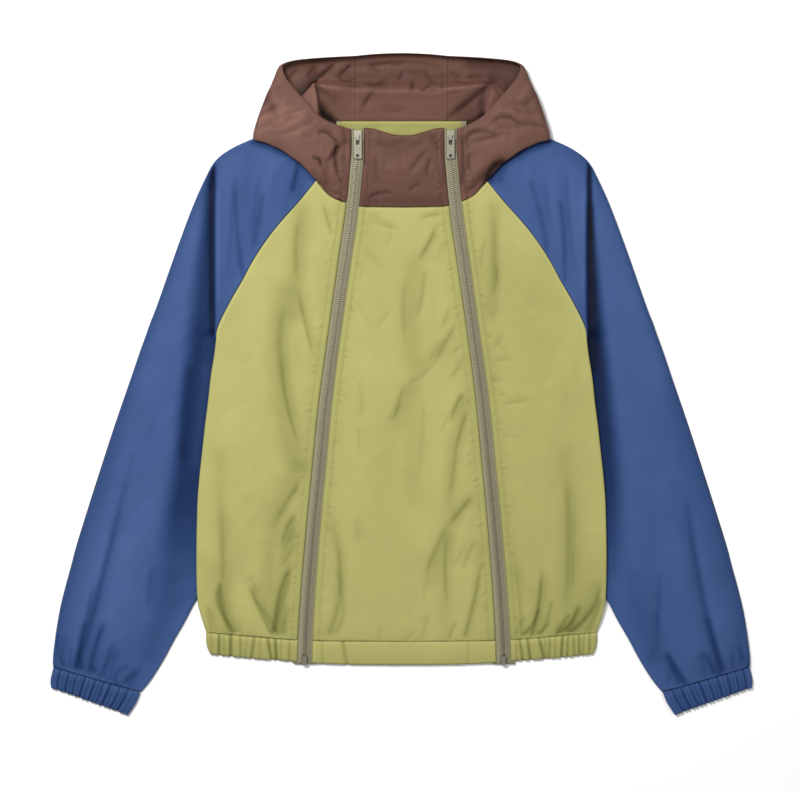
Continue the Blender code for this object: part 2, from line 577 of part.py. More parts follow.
# ---------------------------------------------------------------- hem
def hem_side(name, side, folds):
    """Elastic hem band of a side front, gathered."""
    rows, columns = 3, 25

    def point(row, column):
        v = 1 - row / rows
        u = min(column / columns, 1)
        y_zip = HEM_ZIP_Y - SEAM_LONG + v * (HEM_ZIP_END_Y - HEM_ZIP_Y)
        x_in = zip_x(y_zip, side, 1)
        y_out = SIDE_LOW_Y - SEAM_LONG + v * (SIDE_END_Y - SIDE_LOW_Y)
        half_width = lookup(HEM_SIDE, y_out)
        x_roll = half_width - ROLL
        x = x_in + (x_roll - x_in) * u
        y_low = lookup(HEM_EDGE, x)
        y_top = lookup(HEM_SEAM, x) - SEAM_LONG
        y = y_top + v * (y_low - y_top)
        z = front_z(x, SIDE_LOW_Y) + HEM_PUFF * ease(v * PUFF_RISE) * ease((half_width - x) / PUFF_SIDE)
        for x_top, x_low, width, height in folds:
            middle = abs(x_top + (x_low - x_top) * v)
            z += height * ease(v * GATHER_RISE + 0.1) * math.exp(-(((x - middle) / width) ** 2))
        if column > columns:
            share = (column - columns) / ROLL_COLUMNS
            x, _, z = turned_edge(x_roll, half_width, y_out, z, share, True)
            y = y_out
        return side * x, y, z

    return cloth(name, "green", rows, columns + ROLL_COLUMNS, point)


def hem_centre():
    """Plain hem band between the zips."""
    rows, columns = 3, 12

    def point(row, column):
        v = 1 - row / rows
        y_zip = CENTRE_LOW_Y + v * (CENTRE_END_Y - CENTRE_LOW_Y)
        x = (column / columns * 2 - 1) * zip_x(y_zip, 0, -1) + ZIP_SHIFT
        y_top = lookup(HEM_SEAM, abs(x)) - SEAM_LONG
        y = y_top + v * (lookup(HEM_EDGE, abs(x)) - y_top)
        dip_x, half_width, depth = HEM_DIP
        dip = depth * math.exp(-(((x - dip_x) / half_width) ** 2))
        return x, y, front_z(x, CENTRE_LOW_Y) + (HEM_CENTRE_PUFF + dip) * ease(v * GATHER_RISE)

    return cloth("hem_centre", "green", rows, columns, point)


def hem_back():
    """Back of the hem band, flat on the surface, turned up to meet the front at its sides."""
    rows, columns = 2, 12
    last = columns + 2 * ROLL_COLUMNS

    def point(row, column):
        v = 1 - row / rows
        y = SIDE_LOW_Y - SEAM_LONG + v * (SIDE_END_Y - SIDE_LOW_Y)
        half_width = lookup(HEM_SIDE, y)
        x_roll = half_width - ROLL
        if ROLL_COLUMNS <= column <= last - ROLL_COLUMNS:
            x = x_roll * ((column - ROLL_COLUMNS) / columns * 2 - 1)
            return x, y - v * (SIDE_END_Y - lookup(HEM_EDGE, abs(x))), FLOOR_Z
        side = -1 if column < ROLL_COLUMNS else 1
        steps = ROLL_COLUMNS - column if side < 0 else column - (last - ROLL_COLUMNS)
        x, y, z = turned_edge(x_roll, half_width, y, FLOOR_Z, steps / ROLL_COLUMNS, False)
        return side * x, y, z

    return cloth("hem_back", "green", rows, last, point)


# ---------------------------------------------------------------- sleeves and cuffs
SLEEVE_FRONT = 15
SLEEVE_ARC = 4
SLEEVE_BACK = 3


def sleeve(name, side, folds):
    """One piece: front layer, rounded outer fold, back layer, open along the underarm seam."""
    paths = fold_paths(folds)
    last = len(SLEEVE_ROWS) - 1
    columns = SLEEVE_FRONT + SLEEVE_ARC + SLEEVE_BACK

    def point(row, column):
        index = last - row
        ix, iy, ox, oy, bx, by, crown = SLEEVE_ROWS[index]
        raglan = index < RAGLAN_ROWS
        ix, bx = ix + SEAM, bx + SEAM
        start_z = front_z(ix, iy) if raglan else TUCK_Z
        back_start = back_z(bx, by) if raglan else FLOOR_Z
        if index == RAGLAN_ROWS:
            start_z, back_start = ARMPIT_FRONT_Z, ARMPIT_BACK_Z
        length = math.hypot(ox - ix, oy - iy)
        dx, dy = (ox - ix) / length, (oy - iy) / length
        front_run = length - SLEEVE_FOLD
        hidden = 0.0 if raglan else max(lookup(FRONT_EDGE, iy) - ix, 0) / dx + TUCK_CLEAR
        if column <= SLEEVE_FRONT:
            away = front_run * column / SLEEVE_FRONT
            x, y = ix + dx * away, iy + dy * away
            return side * x, y, layer_z(x, y, away, front_run, start_z, crown, hidden, row)
        middle = (SLEEVE_EDGE_Z + FLOOR_Z) / 2
        tall = (SLEEVE_EDGE_Z - FLOOR_Z) / 2
        if column < SLEEVE_FRONT + SLEEVE_ARC:
            turn = math.pi * (0.5 - (column - SLEEVE_FRONT) / SLEEVE_ARC)
            away = front_run + (SLEEVE_FOLD - WALL / 2) * math.cos(turn)
            return side * (ix + dx * away), iy + dy * away, middle + tall * math.sin(turn)
        share = (column - SLEEVE_FRONT - SLEEVE_ARC) / SLEEVE_BACK
        x0, y0 = ix + dx * front_run, iy + dy * front_run
        last_third = share * 3 - 2
        z = FLOOR_Z + (back_start - FLOOR_Z) * ease(last_third)
        return side * (x0 + (bx - x0) * share), y0 + (by - y0) * share, z

    def layer_z(x, y, away, front_run, start_z, crown, hidden, row):
        z = start_z + (crown - start_z) * ease((away - hidden) / SLEEVE_RISE)
        z += (SLEEVE_EDGE_Z - crown) * ease((away - front_run + SLEEVE_FALL) / SLEEVE_FALL)
        fade = ease((away - hidden - TUCK_CLEAR) / FADE_INNER) * ease((front_run - away) / FADE_OUTER)
        fade *= ease(row / FADE_CUFF_ROWS) * ease((SHOULDER_Y - y) / FADE_SHOULDER)
        return z + relief(paths, side * x, y) * fade

    return cloth(name, "blue", last, columns, point)


def cuff(name, side, folds):
    """Elastic cuff, a flattened tube with gathers on its upper side."""
    front, arc, under = 34, 4, 6
    columns = front + arc + under + arc
    rows = 2

    def edge(points, v):
        return (curve_through((0, 0.5, 1), [p[0] for p in points], v),
                curve_through((0, 0.5, 1), [p[1] for p in points], v))

    def point(row, column):
        v = 1 - row / rows
        ox, oy = edge(CUFF_OUTER, v)
        ix, iy = edge(CUFF_INNER, v)
        length = math.hypot(ix - ox, iy - oy)
        dx, dy = (ix - ox) / length, (iy - oy) / length
        column %= columns
        middle, tall = (CUFF_Z + FLOOR_Z) / 2, (CUFF_Z - FLOOR_Z) / 2
        flat = length - 2 * CUFF_FOLD
        reach = CUFF_FOLD - WALL / 2
        if column <= front:
            away = CUFF_FOLD + flat * column / front
            ends = ease((away - CUFF_FOLD) / PUFF_SIDE) * ease((length - CUFF_FOLD - away) / PUFF_SIDE)
            z = CUFF_Z + CUFF_PUFF * ends * ease(v * PUFF_RISE)
            for fraction, width, height in folds:
                gap = away - length * fraction
                z += height * ease(v * GATHER_RISE) * math.exp(-((gap / width) ** 2))
        elif column < front + arc:
            turn = math.pi * (0.5 - (column - front) / arc)
            away = length - CUFF_FOLD + reach * math.cos(turn)
            z = middle + tall * math.sin(turn)
        elif column <= front + arc + under:
            away = length - CUFF_FOLD - flat * (column - front - arc) / under
            z = FLOOR_Z
        else:
            turn = -math.pi * (0.5 - (column - front - arc - under) / arc)
            away = CUFF_FOLD - reach * math.cos(turn)
            z = middle + tall * math.sin(turn)
        return side * (ox + dx * away), oy + dy * away, z

    return cloth(name, "blue", rows, columns, point, loop=True)


# ---------------------------------------------------------------- collar, hood and flap
def collar_centre():
    """Stand collar between the zips, its top edge dipping at the centre."""
    rows, columns = 8, 8

    def point(row, column):
        v = row / rows
        u = column / columns * 2 - 1
        away = u * zip_x(NECK_SEAM_Y + v * (COLLAR_TOP_Y - NECK_SEAM_Y), 0, -1)
        x = away + ZIP_SHIFT
        low = lookup(NECK_EDGE, abs(x)) + SEAM_LONG
        y = low + v * (lookup(COLLAR_TOP, abs(away)) - low)
        return x, y, collar_z(y) + COLLAR_BOW * (1 - u * u) * ease(v * 1.5)

    return cloth("collar_centre", "brown", rows, columns, point)


def hood_point(across, up):
    """Middle surface of a hood side: across is in rows of HOOD_ROWS, up runs 0 to 7."""
    sections = range(len(HOOD_ROWS))
    keys = range(8)
    section = [
        [curve_through(sections, [row[key][axis] for row in HOOD_ROWS], across) for key in keys]
        for axis in range(3)
    ]
    return [curve_through(keys, values, up) for values in section]


def hood_side(name, side):
    """Hood side with its side of the stand collar: up from the neck seam, out over the shoulder,
    and back over itself to the rim."""

    def point(row, column):
        across = column / HOOD_ACROSS * (len(HOOD_ROWS) - 1)
        x, y, z = hood_point(across, row / HOOD_UP * 7)
        x += side * ZIP_SHIFT * (1 - ease(across / ZIP_SECTIONS))
        if row == 0 and x < NECK_EDGE[-2][0]:
            y = max(y, lookup(NECK_EDGE, x) + SEAM_LONG + 0.1)
        return side * x, y, z

    return cloth(name, "brown", HOOD_UP, HOOD_ACROSS, point)


def hood_centre():
    """Centre strip of the hood, from the back neck seam over the crest to the rim."""
    columns = 6

    def point(row, column):
        up = row / HOOD_UP * 7
        x = (column / columns * 2 - 1) * (STRIP_HALF - STRIP_SEAM)
        _, y, z = hood_point(len(HOOD_ROWS) - 1, up)
        bow = 1 - (x / STRIP_HALF) ** 2
        y += STRIP_BOW * bow * up / 7 - STRIP_DIP * bow * (1 - up / 7)
        return x, y, z

    return cloth("hood_centre", "brown", HOOD_UP, columns, point)


def storm_flap():
    """Flap behind the collar and the zips; its straight top edge stands above the collar."""
    columns = 8

    def point(row, column):
        y, z = FLAP_ROWS[row]
        return (column / columns * 2 - 1) * FLAP_HALF, y, z

    return cloth("storm_flap", "green", len(FLAP_ROWS) - 1, columns, point)


# ---------------------------------------------------------------- zips
def zip_z(y):
    """Middle of the zip tape."""
    level = collar_z(y) if y > NECK_SEAM_Y else front_z(0, 0)
    return level - TAPE_DROP


def zip_strip(name, side, colour, x_from, x_to, y_low, y_top, lift, wall, flare=0.0):
    """A strip along the zip line between two offsets from its middle."""
    levels = [y_low] + [y for y in ZIP_ROWS if y_low + LEVEL_CLEAR < y < y_top - LEVEL_CLEAR] + [y_top]
    rows = len(levels) - 1

    def point(row, column):
        y = levels[row]
        width = lookup(ZIP_LINE, y, 2)
        first, last = x_from(width), x_to(width)
        lean = flare if row == rows else 0.0
        return side * (zip_x(y, side) + lean + first + (last - first) * column), y, zip_z(y) + lift

    return cloth(name, colour, rows, 1, point, wall=wall)


def zip_pieces(label, side):
    """Two tape halves, the closed chain and the bottom stop."""
    inner = CHAIN_WIDE / 2 + CHAIN_GAP

    def tape_edge(width):
        return width + TAPE_UNDER

    zip_strip(f"zip_{label}_tape_out", side, "tape", lambda w: inner, tape_edge, ZIP_BOTTOM_Y, ZIP_TOP_Y, 0,
              TAPE_WALL, TAPE_FLARE)
    zip_strip(f"zip_{label}_tape_in", side, "tape", lambda w: -tape_edge(w), lambda w: -inner, ZIP_BOTTOM_Y,
              ZIP_TOP_Y, 0, TAPE_WALL, -TAPE_FLARE)
    stop_top = ZIP_BOTTOM_Y + STOP_SIZE[1] - STOP_DROP
    zip_strip(f"zip_{label}_chain", side, "teeth", lambda w: -CHAIN_WIDE / 2, lambda w: CHAIN_WIDE / 2,
              stop_top + CHAIN_GAP, CHAIN_TOP_Y, CHAIN_LIFT, CHAIN_THICK)


def block(name, size, centre, colour=None, bevel=0.0):
    """A box by its size and centre, in millimetres."""
    bpy.ops.mesh.primitive_cube_add(size=1)
    item = bpy.context.object
    item.name = name
    item.data.name = name
    item.data.transform(Matrix.Diagonal([value * MM for value in size] + [1]))
    item.location = [value * MM for value in centre]
    for holder in item.users_collection:
        holder.objects.unlink(item)
    (jacket if colour else cutters).objects.link(item)
    if colour:
        item.data.materials.append(material(colour))
    else:
        item.hide_render = True
        item.display_type = "WIRE"
    if bevel:
        soft = item.modifiers.new("edges", "BEVEL")
        soft.width = bevel * MM
        soft.segments = 1
    return item


def cut(item, tool, operation="DIFFERENCE"):
    step = item.modifiers.new(tool.name, "BOOLEAN")
    step.operation = operation
    step.object = tool


def slider(label, side):
    """Slider body: two plates joined by a neck, with the chain's channel, and the tab's bridge on top."""
    x = side * zip_x(HINGE_Y, side)
    chain_z = zip_z(HINGE_Y) + CHAIN_LIFT
    channel_high = CHAIN_THICK + 2 * CHAIN_GAP
    high = channel_high + 2 * PLATE
    y = SLIDER_LOW_Y + SLIDER_LONG / 2
    body = block(f"zip_{label}_slider", (SLIDER_WIDE, SLIDER_LONG, high), (x, y, chain_z), "metal")
    for vertex in body.data.vertices:
        if vertex.co.y < 0:
            vertex.co.x *= SLIDER_TAPER
    soft = body.modifiers.new("edges", "BEVEL")
    soft.width = SLIDER_BEVEL * MM
    soft.segments = 1
    channel_low = SLIDER_LOW_Y - CHANNEL_PAST
    channel_long = CHAIN_TOP_Y + CHAIN_GAP - channel_low
    channel = block(f"channel_{label}", (CHAIN_WIDE + 2 * CHAIN_GAP, channel_long, channel_high),
                    (x, channel_low + channel_long / 2, chain_z))
    cut(body, channel)
    for way, mark in ((-1, "a"), (1, "b")):
        slot = block(f"slot_{label}_{mark}", (SLOT_WIDE, SLIDER_LONG + 2 * CUT_PAST, TAPE_WALL + 2 * SLOT_AIR),
                     (x + way * (NECK_WIDE + SLOT_WIDE) / 2, y, zip_z(HINGE_Y)))
        cut(body, slot)
    top = chain_z + high / 2
    bridge_y = SLIDER_LOW_Y + BRIDGE_LONG / 2
    bridge = block(f"bridge_{label}", (BRIDGE_WIDE, BRIDGE_LONG, BRIDGE_HIGH + BRIDGE_SINK),
                   (x, bridge_y, top + (BRIDGE_HIGH - BRIDGE_SINK) / 2))
    hole_high = BRIDGE_HIGH - BRIDGE_BAR
    hole = block(f"bridge_hole_{label}", (BRIDGE_WIDE + 2 * CUT_PAST, BRIDGE_LONG - 2 * BRIDGE_LEG, hole_high),
                 (x, bridge_y, top + hole_high / 2))
    cut(body, bridge, "UNION")
    cut(body, hole)
    return top


def pull_tab(label, side, slider_top):
    """Pull tab: a plate with a window round the bridge and a round eye, on its hinge axis."""
    x = side * zip_x(HINGE_Y, side)
    plate = block(f"zip_{label}_pull", (PULL_WIDE, PULL_LONG, PULL_THICK), (0, 0, 0), "metal")
    plate.data.transform(Matrix.Translation((0, (PULL_THICK - PULL_LONG) / 2 * MM, 0)))
    soft = plate.modifiers.new("edges", "BEVEL")
    soft.width = PULL_BEVEL * MM
    soft.segments = 1
    pivot = bpy.data.objects.new(f"hinge_{label}", None)
    jacket.objects.link(pivot)
    pivot.location = (x * MM, HINGE_Y * MM, (slider_top + HINGE_LIFT) * MM)
    pivot.rotation_euler = (math.radians(PULL_TILT), 0, 0)
    cut_through = PULL_THICK + 2 * CUT_PAST
    window = block(f"window_{label}", (WINDOW_WIDE, WINDOW_LONG, cut_through),
                   (0, -PULL_THICK / 2 - WINDOW_LONG / 2, 0))
    bpy.ops.mesh.primitive_cylinder_add(vertices=EYE_SIDES, radius=EYE_RADIUS * MM, depth=cut_through * MM)
    eye = bpy.context.object
    eye.name = f"eye_{label}"
    eye.location = (0, -EYE_AT * MM, 0)
    for holder in eye.users_collection:
        holder.objects.unlink(eye)
    cutters.objects.link(eye)
    eye.hide_render = True
    eye.display_type = "WIRE"
    for item in (plate, window, eye):
        item.parent = pivot
    cut(plate, window)
    cut(plate, eye)


# ---------------------------------------------------------------- build
for old in list(bpy.data.objects):
    bpy.data.objects.remove(old, do_unlink=True)
jacket = bpy.data.collections.new("windbreaker_jacket")
cutters = bpy.data.collections.new("cutters")
bpy.context.scene.collection.children.link(jacket)
bpy.context.scene.collection.children.link(cutters)

back_panel()
hem_back()
front_centre()
hem_centre()
collar_centre()
hood_centre()
storm_flap()
for label, side, sleeve_folds, hem_folds, cuff_folds in (
    ("right", -1, SLEEVE_FOLDS_RIGHT, HEM_FOLDS_RIGHT, CUFF_FOLDS_RIGHT),
    ("left", 1, SLEEVE_FOLDS_LEFT, HEM_FOLDS_LEFT, CUFF_FOLDS_LEFT),
):
    front_side(f"front_{label}", side)
    hem_side(f"hem_{label}", side, hem_folds)
    sleeve(f"sleeve_{label}", side, sleeve_folds)
    cuff(f"cuff_{label}", side, cuff_folds)
    hood_side(f"hood_{label}", side)
    zip_pieces(label, side)
    stop_y = ZIP_BOTTOM_Y + STOP_SIZE[1] / 2 - STOP_DROP
    stop_x = side * zip_x(stop_y, side)
    stop_z = zip_z(stop_y) + TAPE_WALL / 2 + CHAIN_GAP + STOP_SIZE[2] / 2
    block(f"zip_{label}_stop", STOP_SIZE, (stop_x, stop_y, stop_z), "metal", STOP_BEVEL)
    pull_tab(label, side, slider(label, side))
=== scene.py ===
"""Looks of the hooded windbreaker: each cloth node is replaced by a thin shell on its solid's form."""

import math

import bmesh
import bpy
import numpy as np
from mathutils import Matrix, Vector


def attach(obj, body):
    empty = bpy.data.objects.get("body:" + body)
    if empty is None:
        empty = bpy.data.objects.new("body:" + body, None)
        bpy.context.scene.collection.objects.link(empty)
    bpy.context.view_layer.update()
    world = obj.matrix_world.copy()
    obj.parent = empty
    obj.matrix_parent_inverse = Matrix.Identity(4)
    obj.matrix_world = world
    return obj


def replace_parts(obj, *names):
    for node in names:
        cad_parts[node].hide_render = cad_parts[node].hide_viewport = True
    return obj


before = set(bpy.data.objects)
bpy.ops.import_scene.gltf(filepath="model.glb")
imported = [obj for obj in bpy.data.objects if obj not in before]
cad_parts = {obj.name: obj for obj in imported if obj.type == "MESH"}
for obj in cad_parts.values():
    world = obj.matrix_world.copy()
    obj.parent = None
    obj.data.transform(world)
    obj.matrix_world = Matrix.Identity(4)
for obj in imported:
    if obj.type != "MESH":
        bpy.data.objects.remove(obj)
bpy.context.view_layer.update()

MM = 0.001
TURN = 2 * math.pi  # a full turn, or one wave
BODY = "jacket"
LABEL = {1: "left", -1: "right"}  # the wearer's side at +X and at -X
FAR = 99  # a distance from an edge at which nothing of it shows

# ---------------------------------------------------------------- sizes of the part, in millimetres
WALL = 1.1
SHELL = 0.6  # thickness of the cloth here
SEAM = 0.12  # half of the groove between two pieces
FLOOR_Z = SHELL / 2
FRONT_Z = 4.65  # middle of the front panels
TUCK_Z = 2.0
TUCK_LIFT = 3.25
TUCK_INSET = 2
BACK_RAMP = 12.0
FRONT_RAMP = 32.0
PLACKET = 6.5
ROLL = 2.6
ROLL_TURN = 78.0
ROLL_REACH = 30
ROLL_COLUMNS = 2
FRONT_COLUMNS = 10
ARMPIT_Y = 70.0
BACK_DIP = 6.0  # how far the middle of the back's upper edge lies under its ends
BACK_DIP_LONG = 28
NECK_SHARE = 0.2  # the part of the front's height that follows the neckline
HEM_LEVEL_Y = -330  # where the front's height gives that of the middle hem band
FRONT_EDGE = (  # y, half_width
    (266, 111), (239, 133), (211, 158), (188, 176), (162, 193), (136, 207), (110, 222), (85, 234.5),
    (70, 240), (56, 241.5), (38, 244), (10, 248.5), (-22, 252), (-54, 256), (-86, 259.5), (-118, 263),
    (-150, 265.5), (-182, 266.5), (-212, 267), (-240, 267), (-264, 266.5), (-284, 265), (-304, 260),
    (-318, 255.5), (-322, 254.5),
)
BACK_EDGE = (
    (328, 87), (300, 108), (256, 141), (226, 163), (193, 183), (160, 201), (125, 218), (92, 232),
) + FRONT_EDGE[8:]
TUCKED_EDGE = (  # y, distance
    (120, 250), (100, 244), (70, 238), (46, 232), (20, 221), (-26, 203), (-78, 199), (-130, 203),
    (-182, 213), (-225, 230), (-256, 246), (-284, 259), (-306, 272), (-322, 286), (-364, 320),
)
NECK_EDGE = (  # x, y
    (0, 231), (50, 232), (66, 234), (80, 239.5), (94, 246.5), (103, 256), (111, 266),
)
HEM_SEAM = ((0, -334), (118, -333), (137, -332), (200, -327), (254, -322))
HEM_EDGE = ((0, -364), (67, -363.5), (118, -361.5), (138, -359.5), (184, -356.5), (223, -353), (250, -350))
HEM_SIDE = ((-322, 254.5), (-333, 254.5), (-342, 253), (-350, 249.5))
NECK_SEAM_Y = 234.0
HEM_ZIP_Y = -332.0
ZIP_LINE = (  # y, x of the middle, half of the width that shows
    (334, 60.2, 8.0), (303, 60.2, 8.0), (279, 62.2, 8.0), (254, 64.6, 8.0), (234, 66.8, 8.0),
    (202, 70.8, 8.2), (162, 76.8, 8.3), (104, 85, 8.4), (46, 93, 8.5), (-32, 103, 9.0), (-110, 110.5, 9.2),
    (-188, 118, 9.3), (-266, 124.5, 9.4), (-332, 128.6, 9.6), (-362, 129.5, 9.6),
)
ZIP_SHIFT = 3.4
TAPE_DROP = 1.35
TAPE_UNDER = 5.0
CHAIN_WIDE = 7.6
CHAIN_SHIFT = 0.8  # the teeth lie a little towards +X between the tapes
CHAIN_LIFT = 0.2
ZIP_TOP_Y = 333.5
ZIP_BOTTOM_Y = -363.0
CHAIN_TOP_Y = 325.8
TAPE_FLARE = 3.0
COLLAR_RISE = 5.85
COLLAR_FLAT_Y = 285.0
COLLAR_TOP_Y = 334.0
COLLAR_TOP = ((0, 324), (15, 325), (29, 329.5), (42, 333), (52, COLLAR_TOP_Y))
COLLAR_BOW = 1.6
FLAP_HALF = 84.0
FLAP_ROWS = ((300, 7.3), (308, 7.3), (315, 6.0), (329, 5.8), (343, 5.6))
SLEEVE_ROWS = (  # inner_x, inner_y, outer_x, outer_y, back_x, back_y, crown
    (111, 266, 106, 342, 87, 328, 5.2), (133, 239, 165, 331, 108, 300, 5.8),
    (158, 211, 205, 316, 141, 256, 6.6), (176, 188, 228, 304, 163, 226, 7.4),
    (193, 162, 244, 290, 183, 193, 8.0), (207, 136, 256, 268, 201, 160, 8.4),
    (222, 110, 272, 232, 218, 125, 8.6), (234.5, 85, 293, 176, 232, 92, 8.8),
    (240, 70, 312, 122, 240, 70, 8.8), (240.4, 61, 321, 97, 240.4, 61, 8.8),
    (240.2, 53, 327, 82, 240.2, 53, 8.8), (238, 44, 333, 65, 238, 44, 8.8),
    (227, 26, 342, 40, 227, 26, 8.8), (210, -14, 357, -5, 210, -14, 9.0),
    (202, -66, 373, -53, 202, -66, 9.2), (205, -122, 387, -97, 205, -122, 9.4),
    (215, -176, 401, -141, 215, -176, 9.6), (233, -223, 413, -179, 233, -223, 9.8),
    (252, -256, 423, -211, 252, -256, 9.8), (268, -281, 430, -237, 268, -281, 9.8),
    (281, -306, 437, -262, 281, -306, 9.6), (296, -332, 444, -290, 296, -332, 9.2),
    (310, -358, 449, -317, 310, -358, 8.4), (325, -382, 453, -345, 325, -382, 7.2),
    (336, -396, 454, -360, 336, -396, 6.0), (339.5, -399.5, 453.5, -366.5, 339.5, -399.5, 5.6),
)
RAGLAN_ROWS = 9
SLEEVE_RISE = 45.0
SLEEVE_FOLD = 4.0
SLEEVE_EDGE_Z = 5.6
SHOULDER_Y = 332
BAND_TOP_Y = 308
SLEEVE_FALL = 35
SLEEVE_LEAST_Z = 1.5
ARMPIT_LEVELS = (5.2, 1.8)  # of the front and the back
SLEEVE_FRONT, SLEEVE_ARC, SLEEVE_BACK = 15, 4, 3  # columns of the grid
CUFF_OUTER = ((453.3, -367.3), (457, -383), (456.5, -393.5))
CUFF_INNER = ((339.7, -400.3), (345.5, -414), (355.5, -429.5))
CUFF_Z = 5.1
CUFF_PUFF, HEM_PUFF = 1.54, 1.3
CUFF_FOLD = 3.5
CUFF_FRONT, CUFF_ARC, CUFF_BACK = 34, 4, 6
HOOD_ROWS = (  # (x, y, z) eight times: neck, stand, crest, valley, under, turn, over, rim
    ((75, 237.6, 4.8), (73.4, 249, 6.0), (72, 263, 8.3), (70.7, 277, 10.2), (69.4, 291, 10.6),
     (68.5, 305, 10.7), (68.5, 319, 10.9), (69, 332, 11.2)),
    ((83.5, 241.3, 4.95), (83.5, 252.5, 6.6), (83.5, 265, 8.8), (83.5, 278, 10.6), (83.5, 291, 11.4),
     (82.5, 306, 12.0), (81, 321, 12.4), (79.5, 335.5, 12.4)),
    ((93.5, 247.2, 4.7), (95, 257, 6.8), (97, 268, 9.4), (98.5, 280, 11.4), (98.5, 293, 12.7),
     (97.5, 308, 13.6), (95, 325, 13.9), (92, 340, 13.6)),
    ((103, 257.5, 4.9), (106, 261.5, 7.6), (110, 267, 10), (114.5, 275, 11.6), (117, 285, 13.2),
     (116, 300, 14.8), (111, 323, 15.4), (103, 346, 14.8)),
    ((108.6, 272, 5.0), (111, 275, 8.5), (119, 280, 9.4), (127, 285, 9.8), (133, 290, 10.8),
     (136.5, 298, 12.8), (129, 322, 16), (112, 354, 15.8)),
    ((107.4, 290, 5.0), (110.5, 291, 8.6), (124, 294, 9.4), (140, 299, 9.5), (153, 303.5, 10.4),
     (158.5, 309, 12.8), (146, 333, 16.8), (121, 365, 16.4)),
    ((106.2, 311, 5.2), (109, 312, 8.6), (124, 314, 9.4), (146, 313, 9.4), (170, 312.8, 10),
     (178, 317.5, 12.6), (164, 342, 17.6), (129, 373, 17)),
    ((104.4, 330, 5.2), (106, 335, 8.6), (111, 344, 10.4), (138, 336, 8.6), (180, 323, 9.4),
     (193.2, 319.5, 12.2), (176, 347, 17.8), (136, 381, 17.4)),
    ((105.5, 345.5, 3.4), (107.5, 355, 7), (112, 370, 12), (139, 355, 6.2), (180, 340, 7.0),
     (189.5, 336, 10.6), (177, 360, 17.4), (142, 388, 17.6)),
    ((97, 339.4, 0.55), (103, 356, 6), (114, 389, 16), (126, 382, 6.5), (158, 368, 4.8), (181.5, 358, 9.5),
     (174, 376, 16.4), (148, 395, 17.6)),
    ((88, 332.6, 0.55), (93, 354, 4.6), (106, 387, 15.6), (118, 393, 5.4), (150, 385, 3.8), (171.5, 382, 8.8),
     (166.5, 392, 15), (152, 403, 17.4)),
    ((79, 330.0, 0.55), (84, 353, 4.2), (98, 385.6, 15.4), (108, 396, 4.6), (138, 401, 3.2), (163, 402, 8.4),
     (161, 405.5, 14), (154, 410.5, 17.2)),
    ((73, 328.6, 0.55), (76, 352, 4.0), (89, 384.4, 15.2), (97, 397, 4.4), (122, 410, 3.2), (153, 417.3, 8),
     (153.5, 417.6, 13.5), (150, 417, 16.8)),
    ((68, 327.4, 0.55), (70, 351.5, 3.9), (78, 383.6, 15), (84, 396.5, 4.4), (101, 412.5, 3.2),
     (121, 422.3, 8), (121, 422.6, 13), (119, 422.2, 16.6)),
    ((64, 326.7, 0.55), (65, 351.2, 3.8), (68.5, 383, 15), (72, 396, 4.4), (82, 413, 3.4),
     (91.5, 424, 8), (91.5, 424.8, 12.8), (90, 424.3, 16.5)),
    ((60.2, 326, 0.55), (60.2, 351, 3.8), (60.2, 382.5, 15), (60.2, 395.4, 4.4), (60.2, 413, 3.6),
     (60.2, 424.6, 8), (60.2, 426.2, 12.5), (60.2, 425.8, 16.4)),
)
RIM_UP = len(HOOD_ROWS[0]) - 1  # the rim's place along a row of the hood
TURN_UP = 5.2  # where the cloth turns over to the outside
BOWL_UP = 4.6  # where the bowl's creases end
HOOD_ACROSS = 18
HOOD_UP = 14
STRIP_HALF = 60.0
STRIP_BOW = 3.6
NECK_LAP = 4.0  # how far the hood's hidden lower edge reaches over the sleeve
STRIP_LAP = 0.4  # how far the strip reaches under the hood's sides
STRIP_DIP = 3.2
BINDING_WIDE = 5.5
BINDING_THICK = 0.4
TAPE_THICK = 0.7
TAPE_IN_TEETH = 1.2
STOP_LONG = 12
TOOTH_PITCH = 1.2
TOOTH_LONG = 1.06
TOOTH_HIGH = 2.0
TOOTH_RINGS = (  # distance from the zip's middle, length and height as shares
    (-0.9, 0.62, 0.55), (0.9, 1.0, 1.0), (1.4, 1.75, 1.0), (CHAIN_WIDE / 2, 1.6, 0.8),
)
TOOTH_CORNERS = (  # shares of half its length and height
    (-1, -0.55), (-1, 0.55), (-0.55, 1), (0.55, 1), (1, 0.55), (1, -0.55), (0.55, -1), (-0.55, -1),
)
# Painted shade on the zip's tape and teeth under the two holes of the pull tab
TAB_SHADE_Y = (297.2, 313.5)
TAB_SHADE_REACH = 2.8
TAB_SHADE = 0.45
PATH_POINTS = 15
FOLD_REACH, SHADE_REACH = 5.0, 2.6  # how many of its half_widths a fold or a shade reaches
CRISP = 1.6  # width of a shade's crisp edge
FALL_DARK, TROUGH_DARK, RIDGE_LIT = 0.075, 0.016, 0.012  # shares of light for each millimetre of relief
STITCH_AT = 8.5  # topstitch from the zip's edge
HEM_STITCH = 3.0  # from the hem seam
TOP_STITCH = 5.0  # from the collar's top
RIM_STITCH = 14.0  # from the hood's rim
STITCH_LONG = 2.6
STITCH_GAP = 1.1
STITCH_LIFT = 0.42
THREAD = 0.26  # half of its thickness
THREAD_SIDES = 6
STITCH_RINGS = (  # share of the length, height, share of the thickness
    (0.0, -0.35, 0.5), (0.12, 0.05, 0.95), (0.5, 0.12, 1.0), (0.88, 0.05, 0.95), (1.0, -0.35, 0.5),
)

